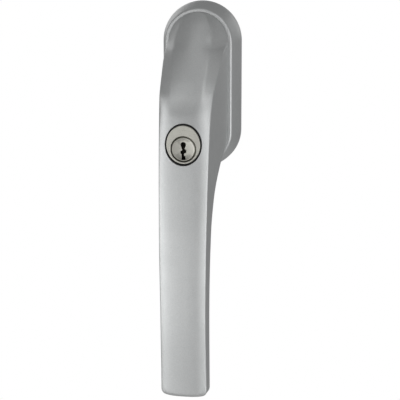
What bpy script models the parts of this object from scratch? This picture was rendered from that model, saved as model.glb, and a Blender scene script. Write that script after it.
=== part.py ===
"""Lockable tilt-and-turn window handle, as separate pieces.

Metres, +Z up. The origin is on the spindle's axis, in the plane of the back
face that bears on the sash. The handle is at rest in its closed position, with
the grip pointing down, and its front faces -Y. A "depth" below is a distance
in front of the back face, so a depth of d lies at Y = -d.
"""
import math

import bmesh
import bpy
from mathutils import Matrix, Vector

MM = 0.001
GAP = 0.3 * MM                    # between pieces that touch
THIN_GAP = 0.1 * MM               # between the shells around the lock
FIT_GAP = 0.15 * MM               # round the bearing bush, inside and outside

# Rosette: a racetrack outline, two half circles joined by straight sides
ROSETTE_R = 17.0 * MM             # outer half width
ARC_Z = 19.27 * MM                # height of each half circle's centre
ROSETTE_DEPTH = 12.0 * MM         # front face of the cover
COVER_WALL = 1.2 * MM
COVER_NECK_R = 8.8 * MM
COVER_BOLT_R = 4.7 * MM           # holes that the locking bolt enters
PLATE_FLANGE_R = 15.3 * MM
PLATE_FLANGE_DEPTH = 4.0 * MM
PLATE_BODY_R = 13.2 * MM
PLATE_BODY_DEPTH = 10.4 * MM
SCREW_Z = 21.5 * MM               # half of the standard 43 mm screw spacing

# Bearing in the middle of the base plate
RECESS_DEPTH = 2.8 * MM           # for the thrust washer and retaining ring
RECESS_R = 10.6 * MM
POCKET_FLOOR = 6.0 * MM           # of the pocket for the detent cam
POCKET_R = 11.4 * MM
BUSH_HOLE_R = 8.9 * MM
NECK_REAR_R = 7.0 * MM
NECK_FRONT_R = 8.2 * MM
NECK_STEP = 7.25 * MM             # depth where the neck gets wider
NECK_END = 0.4 * MM
NECK_FLAT = 7.4 * MM              # half distance across the neck's two flats
CAM_BACK = 7.4 * MM
CAM_FRONT = 10.1 * MM
CAM_FLAT = 9.9 * MM               # half distance across the cam's four flats
CAM_CORNER_R = 11.1 * MM
LEAF_HALF_LENGTH = 8.8 * MM       # of the detent springs

# Spindle and screws, which reach into the sash
SPINDLE_HALF = 3.5 * MM
SPINDLE_FRONT = 9.2 * MM
SPINDLE_REACH = 35.0 * MM
SPINDLE_PIN_DEPTH = 4.5 * MM
SPINDLE_PIN_HOLE_R = 1.5 * MM
SCREW_REACH = 40.0 * MM
SCREW_HEAD_FRONT = 5.1 * MM
SCREW_HEAD_R = 4.6 * MM
SCREW_SHANK_R = 2.4 * MM
SCREW_HOLE_R = 2.8 * MM
COUNTERBORE_R = 4.9 * MM
BUSH_R = 5.0 * MM                 # support bushes round the screws
BUSH_REACH = 3.0 * MM             # of the bushes, behind the back face
BUSH_SEAT_R = 5.3 * MM
BUSH_SEAT_DEPTH = 1.5 * MM

# Lever
LEVER_BACK = 12.3 * MM            # the base of the lever turns on this plane
BASE_R = 12.95 * MM               # half width of the lever's racetrack base
GRIP_END = -128.6 * MM
END_RADIUS = 3.2 * MM

# Lock: an oval barrel in the lever, in front of the lower fixing screw
LOCK_Z = -19.6 * MM
PLUG_Z = -SCREW_Z
BORE_HALF = (7.85 * MM, 8.8 * MM)
BARREL_BACK = 28.0 * MM
BARREL_FRONT = 45.4 * MM
BEFORE_BARREL = 20.0 * MM         # where cutters start and end that run right through the barrel
PAST_BARREL = 50.0 * MM
SURROUND_WALL = 0.6 * MM
COVER_STRIP_HALF = 1.6 * MM       # strip over the pin chambers, in its slot
COVER_SLOT_DEPTH = 0.95 * MM
BARREL_SCREW_Z = -13.2 * MM
BARREL_SCREW_FRONT = 29.8 * MM
BARREL_SCREW_HOLE_R = 1.6 * MM
PLUG_R = 5.2 * MM
TAIL_R = 2.5 * MM
TAIL_END = 17.6 * MM
BOLT_R = 4.2 * MM
BOLT_BORE_R = 4.5 * MM
BOLT_INNER_R = 2.9 * MM
BOLT_NOSE = 12.7 * MM
BOLT_LENGTH = 12.3 * MM
BOLT_THROW = 5.0 * MM
RIB_HALF = 0.8 * MM
CAM_PIN_DEPTH = 18.5 * MM
CAM_PIN_R = 0.6 * MM
PIN_COUNT = 4
PIN_PITCH = 3.5 * MM
FIRST_PIN_DEPTH = 42.0 * MM
PIN_R = 1.0 * MM
PIN_BORE_R = 1.25 * MM

# Half width of the cover's outside, as (depth, value) in millimetres
COVER_HALF_WIDTH = ((0, 17.0), (3, 16.95), (5, 16.6), (7, 16.05), (9.4, 15.3), (11, 14.75),
                    (11.6, 14.45), (12, 14.0))
# Outlines of the lever, as (height, value) in millimetres
CREASE_DEPTH = ((19.3, 12.8), (17, 19.6), (13, 25.4), (8.5, 30.2), (4, 34.9), (-0.5, 38.6),
                (-5, 40.5), (-15, 42.9), (-25, 44.4), (-43, 46.1), (-68, 47.3), (-94, 46.9),
                (-121, 45.0), (-129, 44.5))
CENTRE_DEPTH = ((32.2, 12.9), (28, 18.4), (22, 24.6), (16, 29.9), (10, 34.8), (4, 39.2), (-2, 42.6),
                (-8, 44.4), (-20, 45.6), (-43, 47.3), (-68, 48.7), (-94, 48.3), (-129, 46.2))
CREASE_HALF_WIDTH = ((19.3, 12.9), (13, 12.5), (4, 11.75), (-5, 11.15), (-15, 10.8), (-30, 10.5),
                     (-43, 10.3), (-68, 10.0), (-94, 9.7), (-112, 9.75), (-129, 9.9))
REAR_HALF_WIDTH = ((-19, 12.95), (-32, 11.9), (-43, 10.9), (-60, 10.4), (-94, 10.0), (-129, 10.15))
# Rise of the underside above the base plane, by distance outside the base's end arc
UNDERSIDE_RISE = ((0, 0), (1.2, 4.6), (2.5, 8.8), (4, 12.6), (6.5, 16.0), (9.2, 18.3), (12, 19.8),
                  (15, 20.8), (21, 22.1), (28, 23.1), (41, 24.3), (55, 24.6), (97, 24.2))
REAR_ROUNDING = 2.6 * MM


def clear_scene():
    for old in list(bpy.data.objects):
        bpy.data.objects.remove(old, do_unlink=True)


def finish(name, colour, roughness, metallic):
    material = bpy.data.materials.new(name)
    material.use_nodes = True
    shader = material.node_tree.nodes["Principled BSDF"]
    shader.inputs["Base Color"].default_value = (*colour, 1.0)
    shader.inputs["Roughness"].default_value = roughness
    shader.inputs["Metallic"].default_value = metallic
    material.diffuse_color = (*colour, 1.0)
    return material


def curve_through(points, x):
    """Monotone cubic curve through (x, y) points in millimetres, read at x in metres."""
    pts = sorted(points)
    x = min(max(x / MM, pts[0][0]), pts[-1][0])
    steps = [(b[1] - a[1]) / (b[0] - a[0]) for a, b in zip(pts, pts[1:])]
    slopes = [steps[0]]
    for before, after in zip(steps, steps[1:]):
        slopes.append(2 * before * after / (before + after) if before * after > 0 else 0.0)
    slopes.append(steps[-1])
    i = next(k for k in range(len(steps)) if x <= pts[k + 1][0])
    span = pts[i + 1][0] - pts[i][0]
    t = (x - pts[i][0]) / span
    value = (pts[i][1] * (1 + 2 * t) * (1 - t) ** 2 + pts[i + 1][1] * t * t * (3 - 2 * t)
             + span * slopes[i] * t * (1 - t) ** 2 - span * slopes[i + 1] * t * t * (1 - t))
    return value * MM


# ---------------------------------------------------------------- shapes, in world coordinates
def box(low, high):
    bm = bmesh.new()
    bmesh.ops.create_cube(bm, size=1.0)
    size = [b - a for a, b in zip(low, high)]
    middle = [(a + b) / 2 for a, b in zip(low, high)]
    place = Matrix.Translation(middle) @ Matrix.Diagonal((*size, 1.0))
    bmesh.ops.transform(bm, matrix=place, verts=bm.verts)
    return bm


def extruded(outline, back, front):
    """A closed (x, z) outline, given anticlockwise as seen from the front, between two depths."""
    bm = bmesh.new()
    face = bm.faces.new([bm.verts.new((x, -back, z)) for x, z in outline])
    top = bmesh.ops.extrude_face_region(bm, geom=[face])
    moved = [v for v in top["geom"] if isinstance(v, bmesh.types.BMVert)]
    bmesh.ops.translate(bm, vec=(0, back - front, 0), verts=moved)
    bmesh.ops.recalc_face_normals(bm, faces=bm.faces)
    return bm


def turned(profile, x=0.0, z=0.0, steps=40):
    """Profile of (radius, depth) points spun round an axis along Y through (x, z)."""
    bm = bmesh.new()
    verts = [bm.verts.new((r, -depth, 0)) for r, depth in profile]
    edges = [bm.edges.new(pair) for pair in zip(verts, verts[1:])]
    edges.append(bm.edges.new((verts[-1], verts[0])))
    bmesh.ops.spin(bm, geom=verts + edges, axis=(0, 1, 0), cent=(0, 0, 0), angle=math.tau, steps=steps,
                   use_merge=True)
    bmesh.ops.remove_doubles(bm, verts=bm.verts, dist=1e-7)
    bmesh.ops.dissolve_degenerate(bm, edges=bm.edges, dist=1e-7)
    bmesh.ops.recalc_face_normals(bm, faces=bm.faces)
    bmesh.ops.translate(bm, vec=(x, 0, z), verts=bm.verts)
    return bm


def rod(radius, back, front, x=0.0, z=0.0, steps=32):
    outline = [(x + radius * math.cos(a), z + radius * math.sin(a)) for a in angles(steps)]
    return extruded(outline, back, front)


def ring(inner, outer, back, front, x=0.0, z=0.0, steps=36):
    return turned(((inner, back), (outer, back), (outer, front), (inner, front)), x, z, steps)


def angles(steps):
    """A full turn in equal steps, without its last angle."""
    return [math.tau * i / steps for i in range(steps)]


def arc(radius, start, sweep, steps, z=0.0):
    """Points of an arc round (0, z), both ends included."""
    turns = [start + sweep * i / steps for i in range(steps + 1)]
    return [(radius * math.cos(a), z + radius * math.sin(a)) for a in turns]


def racetrack(radius, steps=16):
    upper = arc(radius, 0, math.pi, steps, ARC_Z)
    return upper + [(-x, -z) for x, z in upper]


def open_ring(inner, outer, opening, steps, z=0.0):
    """Outline of a flat ring with a gap at the bottom."""
    start = -math.pi / 2 + opening / 2
    sweep = math.tau - opening
    return arc(outer, start, sweep, steps, z) + arc(inner, start, sweep, steps, z)[::-1]


def ellipse(half_x, half_z, x=0.0, z=0.0, steps=40):
    return [(x + half_x * math.cos(a), z + half_z * math.sin(a)) for a in angles(steps)]


def lofted(rings):
    """Closed skin through equal rings of points, with flat ends."""
    bm = bmesh.new()
    rows = [[bm.verts.new(p) for p in points] for points in rings]
    for row, after in zip(rows, rows[1:]):
        for i in range(len(row)):
            k = (i + 1) % len(row)
            bm.faces.new((row[i], row[k], after[k], after[i]))
    bm.faces.new(rows[0])
    bm.faces.new(rows[-1])
    bmesh.ops.recalc_face_normals(bm, faces=bm.faces)
    return bm


# ---------------------------------------------------------------- objects
def add(name, bm, material=None, axis=None, smooth=True):
    """Make an object from world-space geometry, with its origin on the empty it hangs on."""
    origin = axis.location.copy() if axis else Vector()
    bmesh.ops.translate(bm, vec=-origin, verts=bm.verts)
    mesh = bpy.data.meshes.new(name)
    bm.to_mesh(mesh)
    bm.free()
    if smooth:
        mesh.shade_smooth()
        mesh.set_sharp_from_angle(angle=math.radians(32))
    if material:
        mesh.materials.append(material)
    obj = bpy.data.objects.new(name, mesh)
    bpy.context.scene.collection.objects.link(obj)
    obj.parent = axis
    return obj


def axis_empty(name, location):
    empty = bpy.data.objects.new(name, None)
    empty.location = location
    bpy.context.scene.collection.objects.link(empty)
    return empty


def combine(obj, bm, label, operation="DIFFERENCE"):
    """Leave a live Boolean on obj, with a hidden tool object."""
    tool = add(f"{obj.name}.{label}", bm, None, obj.parent, smooth=False)
    tool.hide_render = True
    tool.display_type = "WIRE"
    modifier = obj.modifiers.new(label, "BOOLEAN")
    modifier.operation = operation
    modifier.solver = "EXACT"
    modifier.object = tool


def joined(*shapes):
    """Separate closed shapes in one mesh."""
    whole = bmesh.new()
    for shape in shapes:
        mesh = bpy.data.meshes.new("part")
        shape.to_mesh(mesh)
        shape.free()
        whole.from_mesh(mesh)
        bpy.data.meshes.remove(mesh)
    return whole


# ---------------------------------------------------------------- rosette
def make_base_plate(material):
    plate = add("base_plate", extruded(racetrack(PLATE_FLANGE_R), 0, PLATE_FLANGE_DEPTH), material)
    combine(plate, extruded(racetrack(PLATE_BODY_R), 1 * MM, PLATE_BODY_DEPTH), "body", "UNION")
    over = PLATE_BODY_DEPTH + 1 * MM
    under = -1 * MM
    bearing = ((0, under), (RECESS_R, under), (RECESS_R, RECESS_DEPTH), (BUSH_HOLE_R, RECESS_DEPTH),
               (BUSH_HOLE_R, POCKET_FLOOR), (POCKET_R, POCKET_FLOOR), (POCKET_R, over), (0, over))
    combine(plate, turned(bearing, steps=48), "bearing")
    screw_way = ((0, under), (BUSH_SEAT_R, under), (BUSH_SEAT_R, BUSH_SEAT_DEPTH),
                 (SCREW_HOLE_R, BUSH_SEAT_DEPTH), (SCREW_HOLE_R, 2.4 * MM),
                 (COUNTERBORE_R, 4.5 * MM), (COUNTERBORE_R, over), (0, over))
    combine(plate, joined(turned(screw_way, z=SCREW_Z), turned(screw_way, z=-SCREW_Z)), "screw_ways")
    half_length = LEAF_HALF_LENGTH + 0.5 * MM
    for sign, label in ((1, "upper"), (-1, "lower")):
        heights = sorted((sign * 9.0 * MM, sign * 13.0 * MM))
        pocket = box((-half_length, -over, heights[0]), (half_length, -POCKET_FLOOR - 1 * MM, heights[1]))
        combine(plate, pocket, f"spring_pocket_{label}")


def cover_outline(depth):
    """Half width of the cover's outside at a depth: upright, then leaning in to a rounded front edge."""
    return curve_through(COVER_HALF_WIDTH, depth)


def make_rosette_cover(material):
    depths = [d * MM for d in (0, 3, 5, 7, 9.4, 10.6, 11.2, 11.6, 11.85, 12)]
    rings = [[(x, -d, z) for x, z in racetrack(cover_outline(d))] for d in depths]
    cover = add("rosette_cover", lofted(rings), material)
    inside = []
    for depth in [d * MM for d in (-1, 3, 5, 7, 9.4, 10.8)]:
        half_width = cover_outline(max(depth, 0)) - COVER_WALL
        inside.append([(x, -depth, z) for x, z in racetrack(half_width)])
    combine(cover, lofted(inside), "inside")
    before, through = ROSETTE_DEPTH - 2 * MM, ROSETTE_DEPTH + MM
    combine(cover, rod(COVER_NECK_R, before, through, steps=48), "neck_hole")
    holes = [rod(COVER_BOLT_R, before, through, z=s * SCREW_Z) for s in (1, -1)]
    combine(cover, joined(*holes), "bolt_holes")


def make_fixing_screws(material):
    profile = ((0, -SCREW_REACH), (1.4 * MM, -SCREW_REACH), (SCREW_SHANK_R, 3 * MM - SCREW_REACH),
               (SCREW_SHANK_R, 2.6 * MM), (SCREW_HEAD_R, 4.8 * MM), (SCREW_HEAD_R, SCREW_HEAD_FRONT),
               (0, SCREW_HEAD_FRONT))
    long, short = 2.2 * MM, 0.45 * MM
    for name, z in (("fixing_screw_upper", SCREW_Z), ("fixing_screw_lower", -SCREW_Z)):
        screw = add(name, turned(profile, z=z, steps=28), material)
        for label, half_x, half_z in (("slot_across", long, short), ("slot_upright", short, long)):
            slot = box((-half_x, -SCREW_HEAD_FRONT - MM, z - half_z),
                       (half_x, -SCREW_HEAD_FRONT + 1.8 * MM, z + half_z))
            combine(screw, slot, label)


def make_support_bushes(material):
    for name, z in (("support_bush_upper", SCREW_Z), ("support_bush_lower", -SCREW_Z)):
        bush = ring(SCREW_HOLE_R, BUSH_R, -BUSH_REACH, BUSH_SEAT_DEPTH - GAP, z=z, steps=32)
        add(name, bush, material)


def make_bearing_bush(material):
    inner = NECK_REAR_R + FIT_GAP
    outer = BUSH_HOLE_R - FIT_GAP
    rim, rim_back, rim_front = 10.0 * MM, POCKET_FLOOR + GAP, CAM_BACK - GAP
    profile = ((inner, RECESS_DEPTH), (outer, RECESS_DEPTH), (outer, rim_back), (rim, rim_back),
               (rim, rim_front), (inner, rim_front))
    add("bearing_bush", turned(profile), material)


def make_detent_springs(material):
    """Two bowed leaf springs, whose middles press on flats of the cam."""
    rise, thickness, steps = 1.6 * MM, 0.5 * MM, 14
    for sign, name in ((1, "detent_spring_upper"), (-1, "detent_spring_lower")):
        near = []
        for i in range(steps + 1):
            x = LEAF_HALF_LENGTH * (2 * i / steps - 1)
            bow = rise * (1 - math.cos(math.pi * x / LEAF_HALF_LENGTH)) / 2
            near.append((x, sign * (CAM_FLAT + GAP + bow)))
        far = [(x, z + sign * thickness) for x, z in reversed(near)]
        outline = near + far
        add(name, extruded(outline, CAM_BACK, CAM_FRONT - 0.2 * MM), material)


# ---------------------------------------------------------------- lever
def lever_half_width(z):
    """Half width of the front crease and of the rear edge at a height."""
    if z >= ARC_Z:
        width = math.sqrt(max(BASE_R ** 2 - (z - ARC_Z) ** 2, 0.0))
        return width, width
    front = curve_through(CREASE_HALF_WIDTH, z)
    rear = curve_through(REAR_HALF_WIDTH, z)
    tip = z - (GRIP_END + END_RADIUS)
    if tip < 0:
        shrink = END_RADIUS - math.sqrt(max(END_RADIUS ** 2 - tip ** 2, 0.0))
        return front - shrink, rear - shrink
    return front, rear


def lever_front(z, across):
    """Depth of the front at a height; across runs from 0 in the middle to 1 on the crease."""
    crease = curve_through(CREASE_DEPTH, z)
    centre = curve_through(CENTRE_DEPTH, z)
    bow = 0.35 * across ** 2 + 0.65 * across ** 5
    return centre - (centre - crease) * bow - end_rounding(z)


def end_rounding(z):
    return 1.4 * MM * max(0.0, (GRIP_END + 1.6 * MM - z) / (1.6 * MM)) ** 2


def lever_rear(z, x, half_width):
    """Depth of the rear surface: the flat base, then the underside that flares out of its end arc."""
    outside = math.hypot(x, z + ARC_Z) - BASE_R if z < -ARC_Z else 0.0
    depth = LEVER_BACK + curve_through(UNDERSIDE_RISE, max(outside, 0.0))
    radius = REAR_ROUNDING * min(1.0, max(0.0, (-z - 40 * MM) / (15 * MM)))
    beyond = abs(x) - (half_width - radius)
    if radius > 0 and beyond > 0:
        depth += radius - math.sqrt(max(radius ** 2 - beyond ** 2, 0.0))
    return depth + end_rounding(z)


def rear_positions(z, half_width, inner=2, outer=7):
    """Sideways positions across the rear, with points on the base's end arc and close together outside it."""
    rim = math.sqrt(max(BASE_R ** 2 - (z + ARC_Z) ** 2, 0.0)) if z < -ARC_Z else half_width
    rim = min(max(rim, GAP), half_width - GAP)
    shares = [(1 - math.cos(math.pi * i / outer)) / 2 for i in range(1, outer + 1)]
    right = [rim + (half_width - rim) * share for share in shares]
    return [-x for x in reversed(right)] + [rim * i / inner for i in range(-inner, inner + 1)] + right


def lever_section(z, front_points=12):
    front_half, rear_half = lever_half_width(z)
    across = [1 - 2 * i / front_points for i in range(front_points + 1)]
    front = [(front_half * t, -lever_front(z, abs(t)), z) for t in across]
    rear = [(x, -lever_rear(z, x, rear_half), z) for x in rear_positions(z, rear_half)]
    return front + rear


def lever_heights():
    dome = [ARC_Z + BASE_R * math.sin(math.radians(a)) for a in (87, 78, 68, 58, 48, 38, 28, 18, 9, 0)]
    neck = [z * MM for z in (17, 15, 13, 10.5, 8, 5.5, 3, 0.5, -2, -5, -8, -12, -16, -19.27)]
    flare = [z * MM for z in (-21, -23, -25, -27, -28.5, -30, -31, -32, -33, -34.2, -35.6, -37.2, -39.2,
                              -42, -46)]
    grip = [z * MM for z in (-52, -58, -66, -76, -88, -100, -112, -122, -125.4)]
    end = [GRIP_END + END_RADIUS * (1 - math.sin(math.radians(a))) for a in (20, 40, 60, 75, 86)]
    return dome + neck + flare + grip + end


def make_lever(material, axis):
    lever = add("lever", lofted([lever_section(z) for z in lever_heights()]), material, axis)
    inside_base = LEVER_BACK + 1.7 * MM
    groove_back, groove_front, groove_r = 0.9 * MM, 1.9 * MM, 6.2 * MM
    neck = ((0, NECK_END), (NECK_REAR_R, NECK_END), (NECK_REAR_R, groove_back), (groove_r, groove_back),
            (groove_r, groove_front), (NECK_REAR_R, groove_front), (NECK_REAR_R, NECK_STEP),
            (NECK_FRONT_R, NECK_STEP), (NECK_FRONT_R, inside_base), (0, inside_base))
    combine(lever, turned(neck), "neck", "UNION")
    flats = []
    for sign in (1, -1):
        near, far = sorted((sign * NECK_FLAT, sign * 9 * MM))
        flats.append(box((near, -CAM_FRONT - GAP, -9 * MM), (far, -NECK_STEP + 0.1 * MM, 9 * MM)))
    combine(lever, joined(*flats), "neck_flats")
    half = SPINDLE_HALF + GAP
    combine(lever, box((-half, -SPINDLE_FRONT - GAP, -half), (half, MM, half)), "spindle_socket")
    combine(lever, cross_rod(SPINDLE_PIN_HOLE_R, -8.5 * MM, 8.5 * MM, SPINDLE_PIN_DEPTH), "pin_hole")
    in_front = BARREL_FRONT + 15 * MM
    combine(lever, extruded(ellipse(*BORE_HALF, z=LOCK_Z), BARREL_BACK - 0.2 * MM, in_front), "lock_bore")
    clip_room_r, clip_room_back = 6.2 * MM, 25.6 * MM
    chamber = ((0, 11 * MM), (BOLT_BORE_R, 11 * MM), (BOLT_BORE_R, clip_room_back),
               (clip_room_r, clip_room_back), (clip_room_r, 30 * MM), (0, 30 * MM))
    combine(lever, turned(chamber, z=PLUG_Z), "bolt_bore")
    groove_half = RIB_HALF + GAP
    groove = box((-groove_half, -26.5 * MM, PLUG_Z), (groove_half, -14.6 * MM, PLUG_Z + 5.8 * MM))
    combine(lever, groove, "bolt_groove")
    screw_hole = rod(BARREL_SCREW_HOLE_R, 11 * MM, 31 * MM, z=BARREL_SCREW_Z, steps=20)
    combine(lever, screw_hole, "retaining_screw_hole")


def cross_rod(radius, low, high, depth, z=0.0, steps=16):
    """Cylinder along X between two positions, at a depth."""
    bm = bmesh.new()
    bmesh.ops.create_cone(bm, segments=steps, radius1=radius, radius2=radius, depth=high - low, cap_ends=True)
    place = Matrix.Translation(((low + high) / 2, -depth, z)) @ Matrix.Rotation(math.pi / 2, 4, "Y")
    bmesh.ops.transform(bm, matrix=place, verts=bm.verts)
    return bm


def make_detent_cam(material, axis):
    """Square disc with rounded corners, keyed on the neck's flats."""
    corner = math.acos(CAM_FLAT / CAM_CORNER_R)
    outline = []
    for quarter in range(4):
        start = quarter * math.pi / 2 + corner
        sweep = math.pi / 2 - 2 * corner
        outline += arc(CAM_CORNER_R, start, sweep, 6)
    cam = add("detent_cam", extruded(outline, CAM_BACK, CAM_FRONT), material, axis)
    radius = NECK_FRONT_R + 0.25 * MM
    flat = NECK_FLAT + 0.25 * MM
    reach = math.acos(flat / radius)
    hole = arc(radius, reach, math.pi - 2 * reach, 20)
    hole += [(-x, -z) for x, z in hole]
    combine(cam, extruded(hole, CAM_BACK - MM, CAM_FRONT + MM), "neck_hole")


def make_thrust_washer(material, axis):
    add("thrust_washer", ring(NECK_REAR_R + GAP, 10.2 * MM, 2.0 * MM, RECESS_DEPTH - GAP), material, axis)


def make_retaining_ring(material, axis):
    """Open spring ring in the neck's groove."""
    outline = open_ring(6.5 * MM, 9.0 * MM, math.radians(36), 36)
    add("retaining_ring", extruded(outline, 1.1 * MM, 1.7 * MM), material, axis)


def make_spindle(material, axis):
    bm = box((-SPINDLE_HALF, -SPINDLE_FRONT, -SPINDLE_HALF), (SPINDLE_HALF, SPINDLE_REACH, SPINDLE_HALF))
    tip = [e for e in bm.edges if all(v.co.y > SPINDLE_REACH / 2 for v in e.verts)]
    bmesh.ops.bevel(bm, geom=tip, offset=0.8 * MM, segments=1, affect="EDGES", profile=0.5)
    spindle = add("spindle", bm, material, axis, smooth=False)
    combine(spindle, cross_rod(SPINDLE_PIN_HOLE_R, -6 * MM, 6 * MM, SPINDLE_PIN_DEPTH), "pin_hole")


def make_spindle_pin(material, axis):
    half_length = NECK_REAR_R - GAP
    pin = cross_rod(SPINDLE_PIN_HOLE_R - GAP, -half_length, half_length, SPINDLE_PIN_DEPTH, steps=18)
    add("spindle_pin", pin, material, axis)


# ---------------------------------------------------------------- lock
def make_lock_surround(material, axis):
    half_x, half_z = BORE_HALF
    outer = ellipse(half_x - THIN_GAP, half_z - THIN_GAP, z=LOCK_Z)
    ring_shape = extruded(outer, BARREL_BACK + THIN_GAP, BARREL_FRONT - 0.2 * MM)
    surround = add("lock_surround", ring_shape, material, axis)
    inner = ellipse(half_x - SURROUND_WALL, half_z - SURROUND_WALL, z=LOCK_Z)
    combine(surround, extruded(inner, BEFORE_BARREL, PAST_BARREL), "inside")


def pin_depths():
    return [FIRST_PIN_DEPTH - i * PIN_PITCH for i in range(PIN_COUNT)]


def upright_rod(radius, low, high, depth, steps=14, tip=0.0):
    """Cylinder along Z at a depth, with an optional pointed lower end."""
    bm = bmesh.new()
    length = high - low - tip
    bmesh.ops.create_cone(bm, segments=steps, radius1=radius, radius2=radius, depth=length, cap_ends=True)
    if tip:
        bottom = [f for f in bm.faces if f.normal.z < -0.5]
        end = bmesh.ops.extrude_face_region(bm, geom=bottom)
        bmesh.ops.delete(bm, geom=bottom, context="FACES_ONLY")
        verts = [v for v in end["geom"] if isinstance(v, bmesh.types.BMVert)]
        bmesh.ops.translate(bm, vec=(0, 0, -tip), verts=verts)
        bmesh.ops.scale(bm, vec=(0.35, 0.35, 1), verts=verts)
    bmesh.ops.translate(bm, vec=(0, -depth, (low + tip + high) / 2), verts=bm.verts)
    bmesh.ops.recalc_face_normals(bm, faces=bm.faces)
    return bm


def barrel_halves():
    """Half width and half height of the oval barrel."""
    wall = SURROUND_WALL + THIN_GAP
    return BORE_HALF[0] - wall, BORE_HALF[1] - wall


def make_lock_barrel(material, axis):
    half_x, half_z = barrel_halves()
    oval = extruded(ellipse(half_x, half_z, z=LOCK_Z), BARREL_BACK, BARREL_FRONT)
    barrel = add("lock_barrel", oval, material, axis)
    combine(barrel, rod(PLUG_R + 0.2 * MM, BEFORE_BARREL, PAST_BARREL, z=PLUG_Z, steps=40), "plug_bore")
    top = LOCK_Z + half_z
    chambers = [upright_rod(PIN_BORE_R, PLUG_Z + 3 * MM, top + MM, d) for d in pin_depths()]
    combine(barrel, joined(*chambers), "pin_chambers")
    slot_half, slot_floor = COVER_STRIP_HALF + GAP, top - COVER_SLOT_DEPTH
    slot = box((-slot_half, -FIRST_PIN_DEPTH - 2 * MM, slot_floor), (slot_half, -BARREL_BACK + MM, top + MM))
    combine(barrel, slot, "cover_slot")
    notch = rod(BARREL_SCREW_HOLE_R, BEFORE_BARREL, 31 * MM, z=BARREL_SCREW_Z, steps=20)
    combine(barrel, notch, "screw_notch")


def make_chamber_cover(material, axis):
    low = LOCK_Z + barrel_halves()[1] - COVER_SLOT_DEPTH + GAP
    strip = box((-COVER_STRIP_HALF, -FIRST_PIN_DEPTH - 1.7 * MM, low),
                (COVER_STRIP_HALF, -BARREL_SCREW_FRONT - GAP, low + 0.5 * MM))
    add("chamber_cover", strip, material, axis, smooth=False)


def make_driver_pins(material, axis):
    low = PLUG_Z + PLUG_R + 0.25 * MM
    for number, depth in enumerate(pin_depths(), 1):
        add(f"driver_pin_{number}", upright_rod(PIN_R, low, low + 1.5 * MM, depth), material, axis)


def make_pin_springs(material, axis):
    """Small coil springs, each a wire swept along a helix between a driver pin and the cover strip."""
    low = PLUG_Z + PLUG_R + 2.0 * MM
    high = LOCK_Z + barrel_halves()[1] - COVER_SLOT_DEPTH
    wire, coil, turns, steps, sides = 0.14 * MM, 0.75 * MM, 3, 10, 4
    for number, depth in enumerate(pin_depths(), 1):
        rings = []
        for i in range(turns * steps + 1):
            angle = math.tau * i / steps
            height = low + wire + (high - low - 2 * wire) * i / (turns * steps)
            centre = Vector((coil * math.cos(angle), -depth + coil * math.sin(angle), height))
            outward = Vector((math.cos(angle), math.sin(angle), 0))
            rings.append([centre + wire * (outward * math.cos(a) + Vector((0, 0, 1)) * math.sin(a))
                          for a in angles(sides)])
        add(f"pin_spring_{number}", lofted(rings), material, axis)


def make_retaining_screw(material, axis):
    """Headless screw behind the barrel, whose end stands in the barrel's notch."""
    back = 19 * MM
    shape = rod(1.25 * MM, back, BARREL_SCREW_FRONT, z=BARREL_SCREW_Z, steps=20)
    screw = add("barrel_retaining_screw", shape, material, axis)
    hexagon = rod(0.7 * MM, back - MM, back + 2 * MM, z=BARREL_SCREW_Z, steps=6)
    combine(screw, hexagon, "hex_socket")


def make_lock_plug(material, axis):
    front, chamfer = BARREL_FRONT - THIN_GAP, 0.5 * MM
    shoulder_r, shoulder, groove_r = 3.9 * MM, 26.2 * MM, 3.3 * MM
    groove_back, groove_front = 26.8 * MM, 27.8 * MM
    profile = ((0, TAIL_END), (TAIL_R, TAIL_END), (TAIL_R, shoulder), (shoulder_r, shoulder),
               (shoulder_r, groove_back), (groove_r, groove_back), (groove_r, groove_front),
               (PLUG_R, groove_front), (PLUG_R, front - chamfer), (PLUG_R - chamfer, front), (0, front))
    plug = add("lock_plug", turned(profile, z=PLUG_Z, steps=40), material, axis)
    combine(plug, extruded(keyway_outline(), 29.5 * MM, PAST_BARREL), "keyway")
    bores = [upright_rod(PIN_BORE_R, PLUG_Z + 1.2 * MM, PLUG_Z + 7 * MM, d) for d in pin_depths()]
    combine(plug, joined(*bores), "pin_bores")
    hole = cross_rod(CAM_PIN_R + 0.2 * MM, -4 * MM, 4 * MM, CAM_PIN_DEPTH, z=PLUG_Z)
    combine(plug, hole, "cam_pin_hole")


def keyway_outline():
    """Warded slot with a round head: up the right side, round the head and down the left."""
    right = ((0.95, -4.5), (0.95, -2.9), (0.35, -2.6), (0.35, -1.7), (1.25, -1.4), (1.25, -0.1),
             (0.55, 0.2))
    left = ((-0.5, 0.0), (-0.5, -0.4), (-1.15, -0.7), (-1.15, -1.8), (-0.75, -2.1), (-0.75, -4.5))
    opening = math.radians(60)
    head = arc(1.15, opening - math.pi / 2, math.tau - 2 * opening, 10, 1.95)
    return [(x * MM, PLUG_Z + z * MM) for x, z in (*right, *head, *left)]


def make_key_pins(material, axis):
    high = PLUG_Z + PLUG_R - 0.1 * MM
    lengths = (2.3 * MM, 2.9 * MM, 2.0 * MM, 2.6 * MM)
    for number, (depth, length) in enumerate(zip(pin_depths(), lengths), 1):
        pin = upright_rod(PIN_R, high - length, high, depth, tip=0.6 * MM)
        add(f"key_pin_{number}", pin, material, axis)


def make_plug_clip(material, axis):
    """Open washer in the plug's groove, behind the barrel."""
    outline = open_ring(3.5 * MM, 5.7 * MM, math.radians(60), 28, PLUG_Z)
    add("plug_clip", extruded(outline, 26.95 * MM, 27.6 * MM), material, axis)


def make_cam_pin(material, axis):
    pin = cross_rod(CAM_PIN_R, -1.8 * MM, 3.9 * MM, CAM_PIN_DEPTH, z=PLUG_Z, steps=14)
    add("cam_pin", pin, material, axis)


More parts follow.
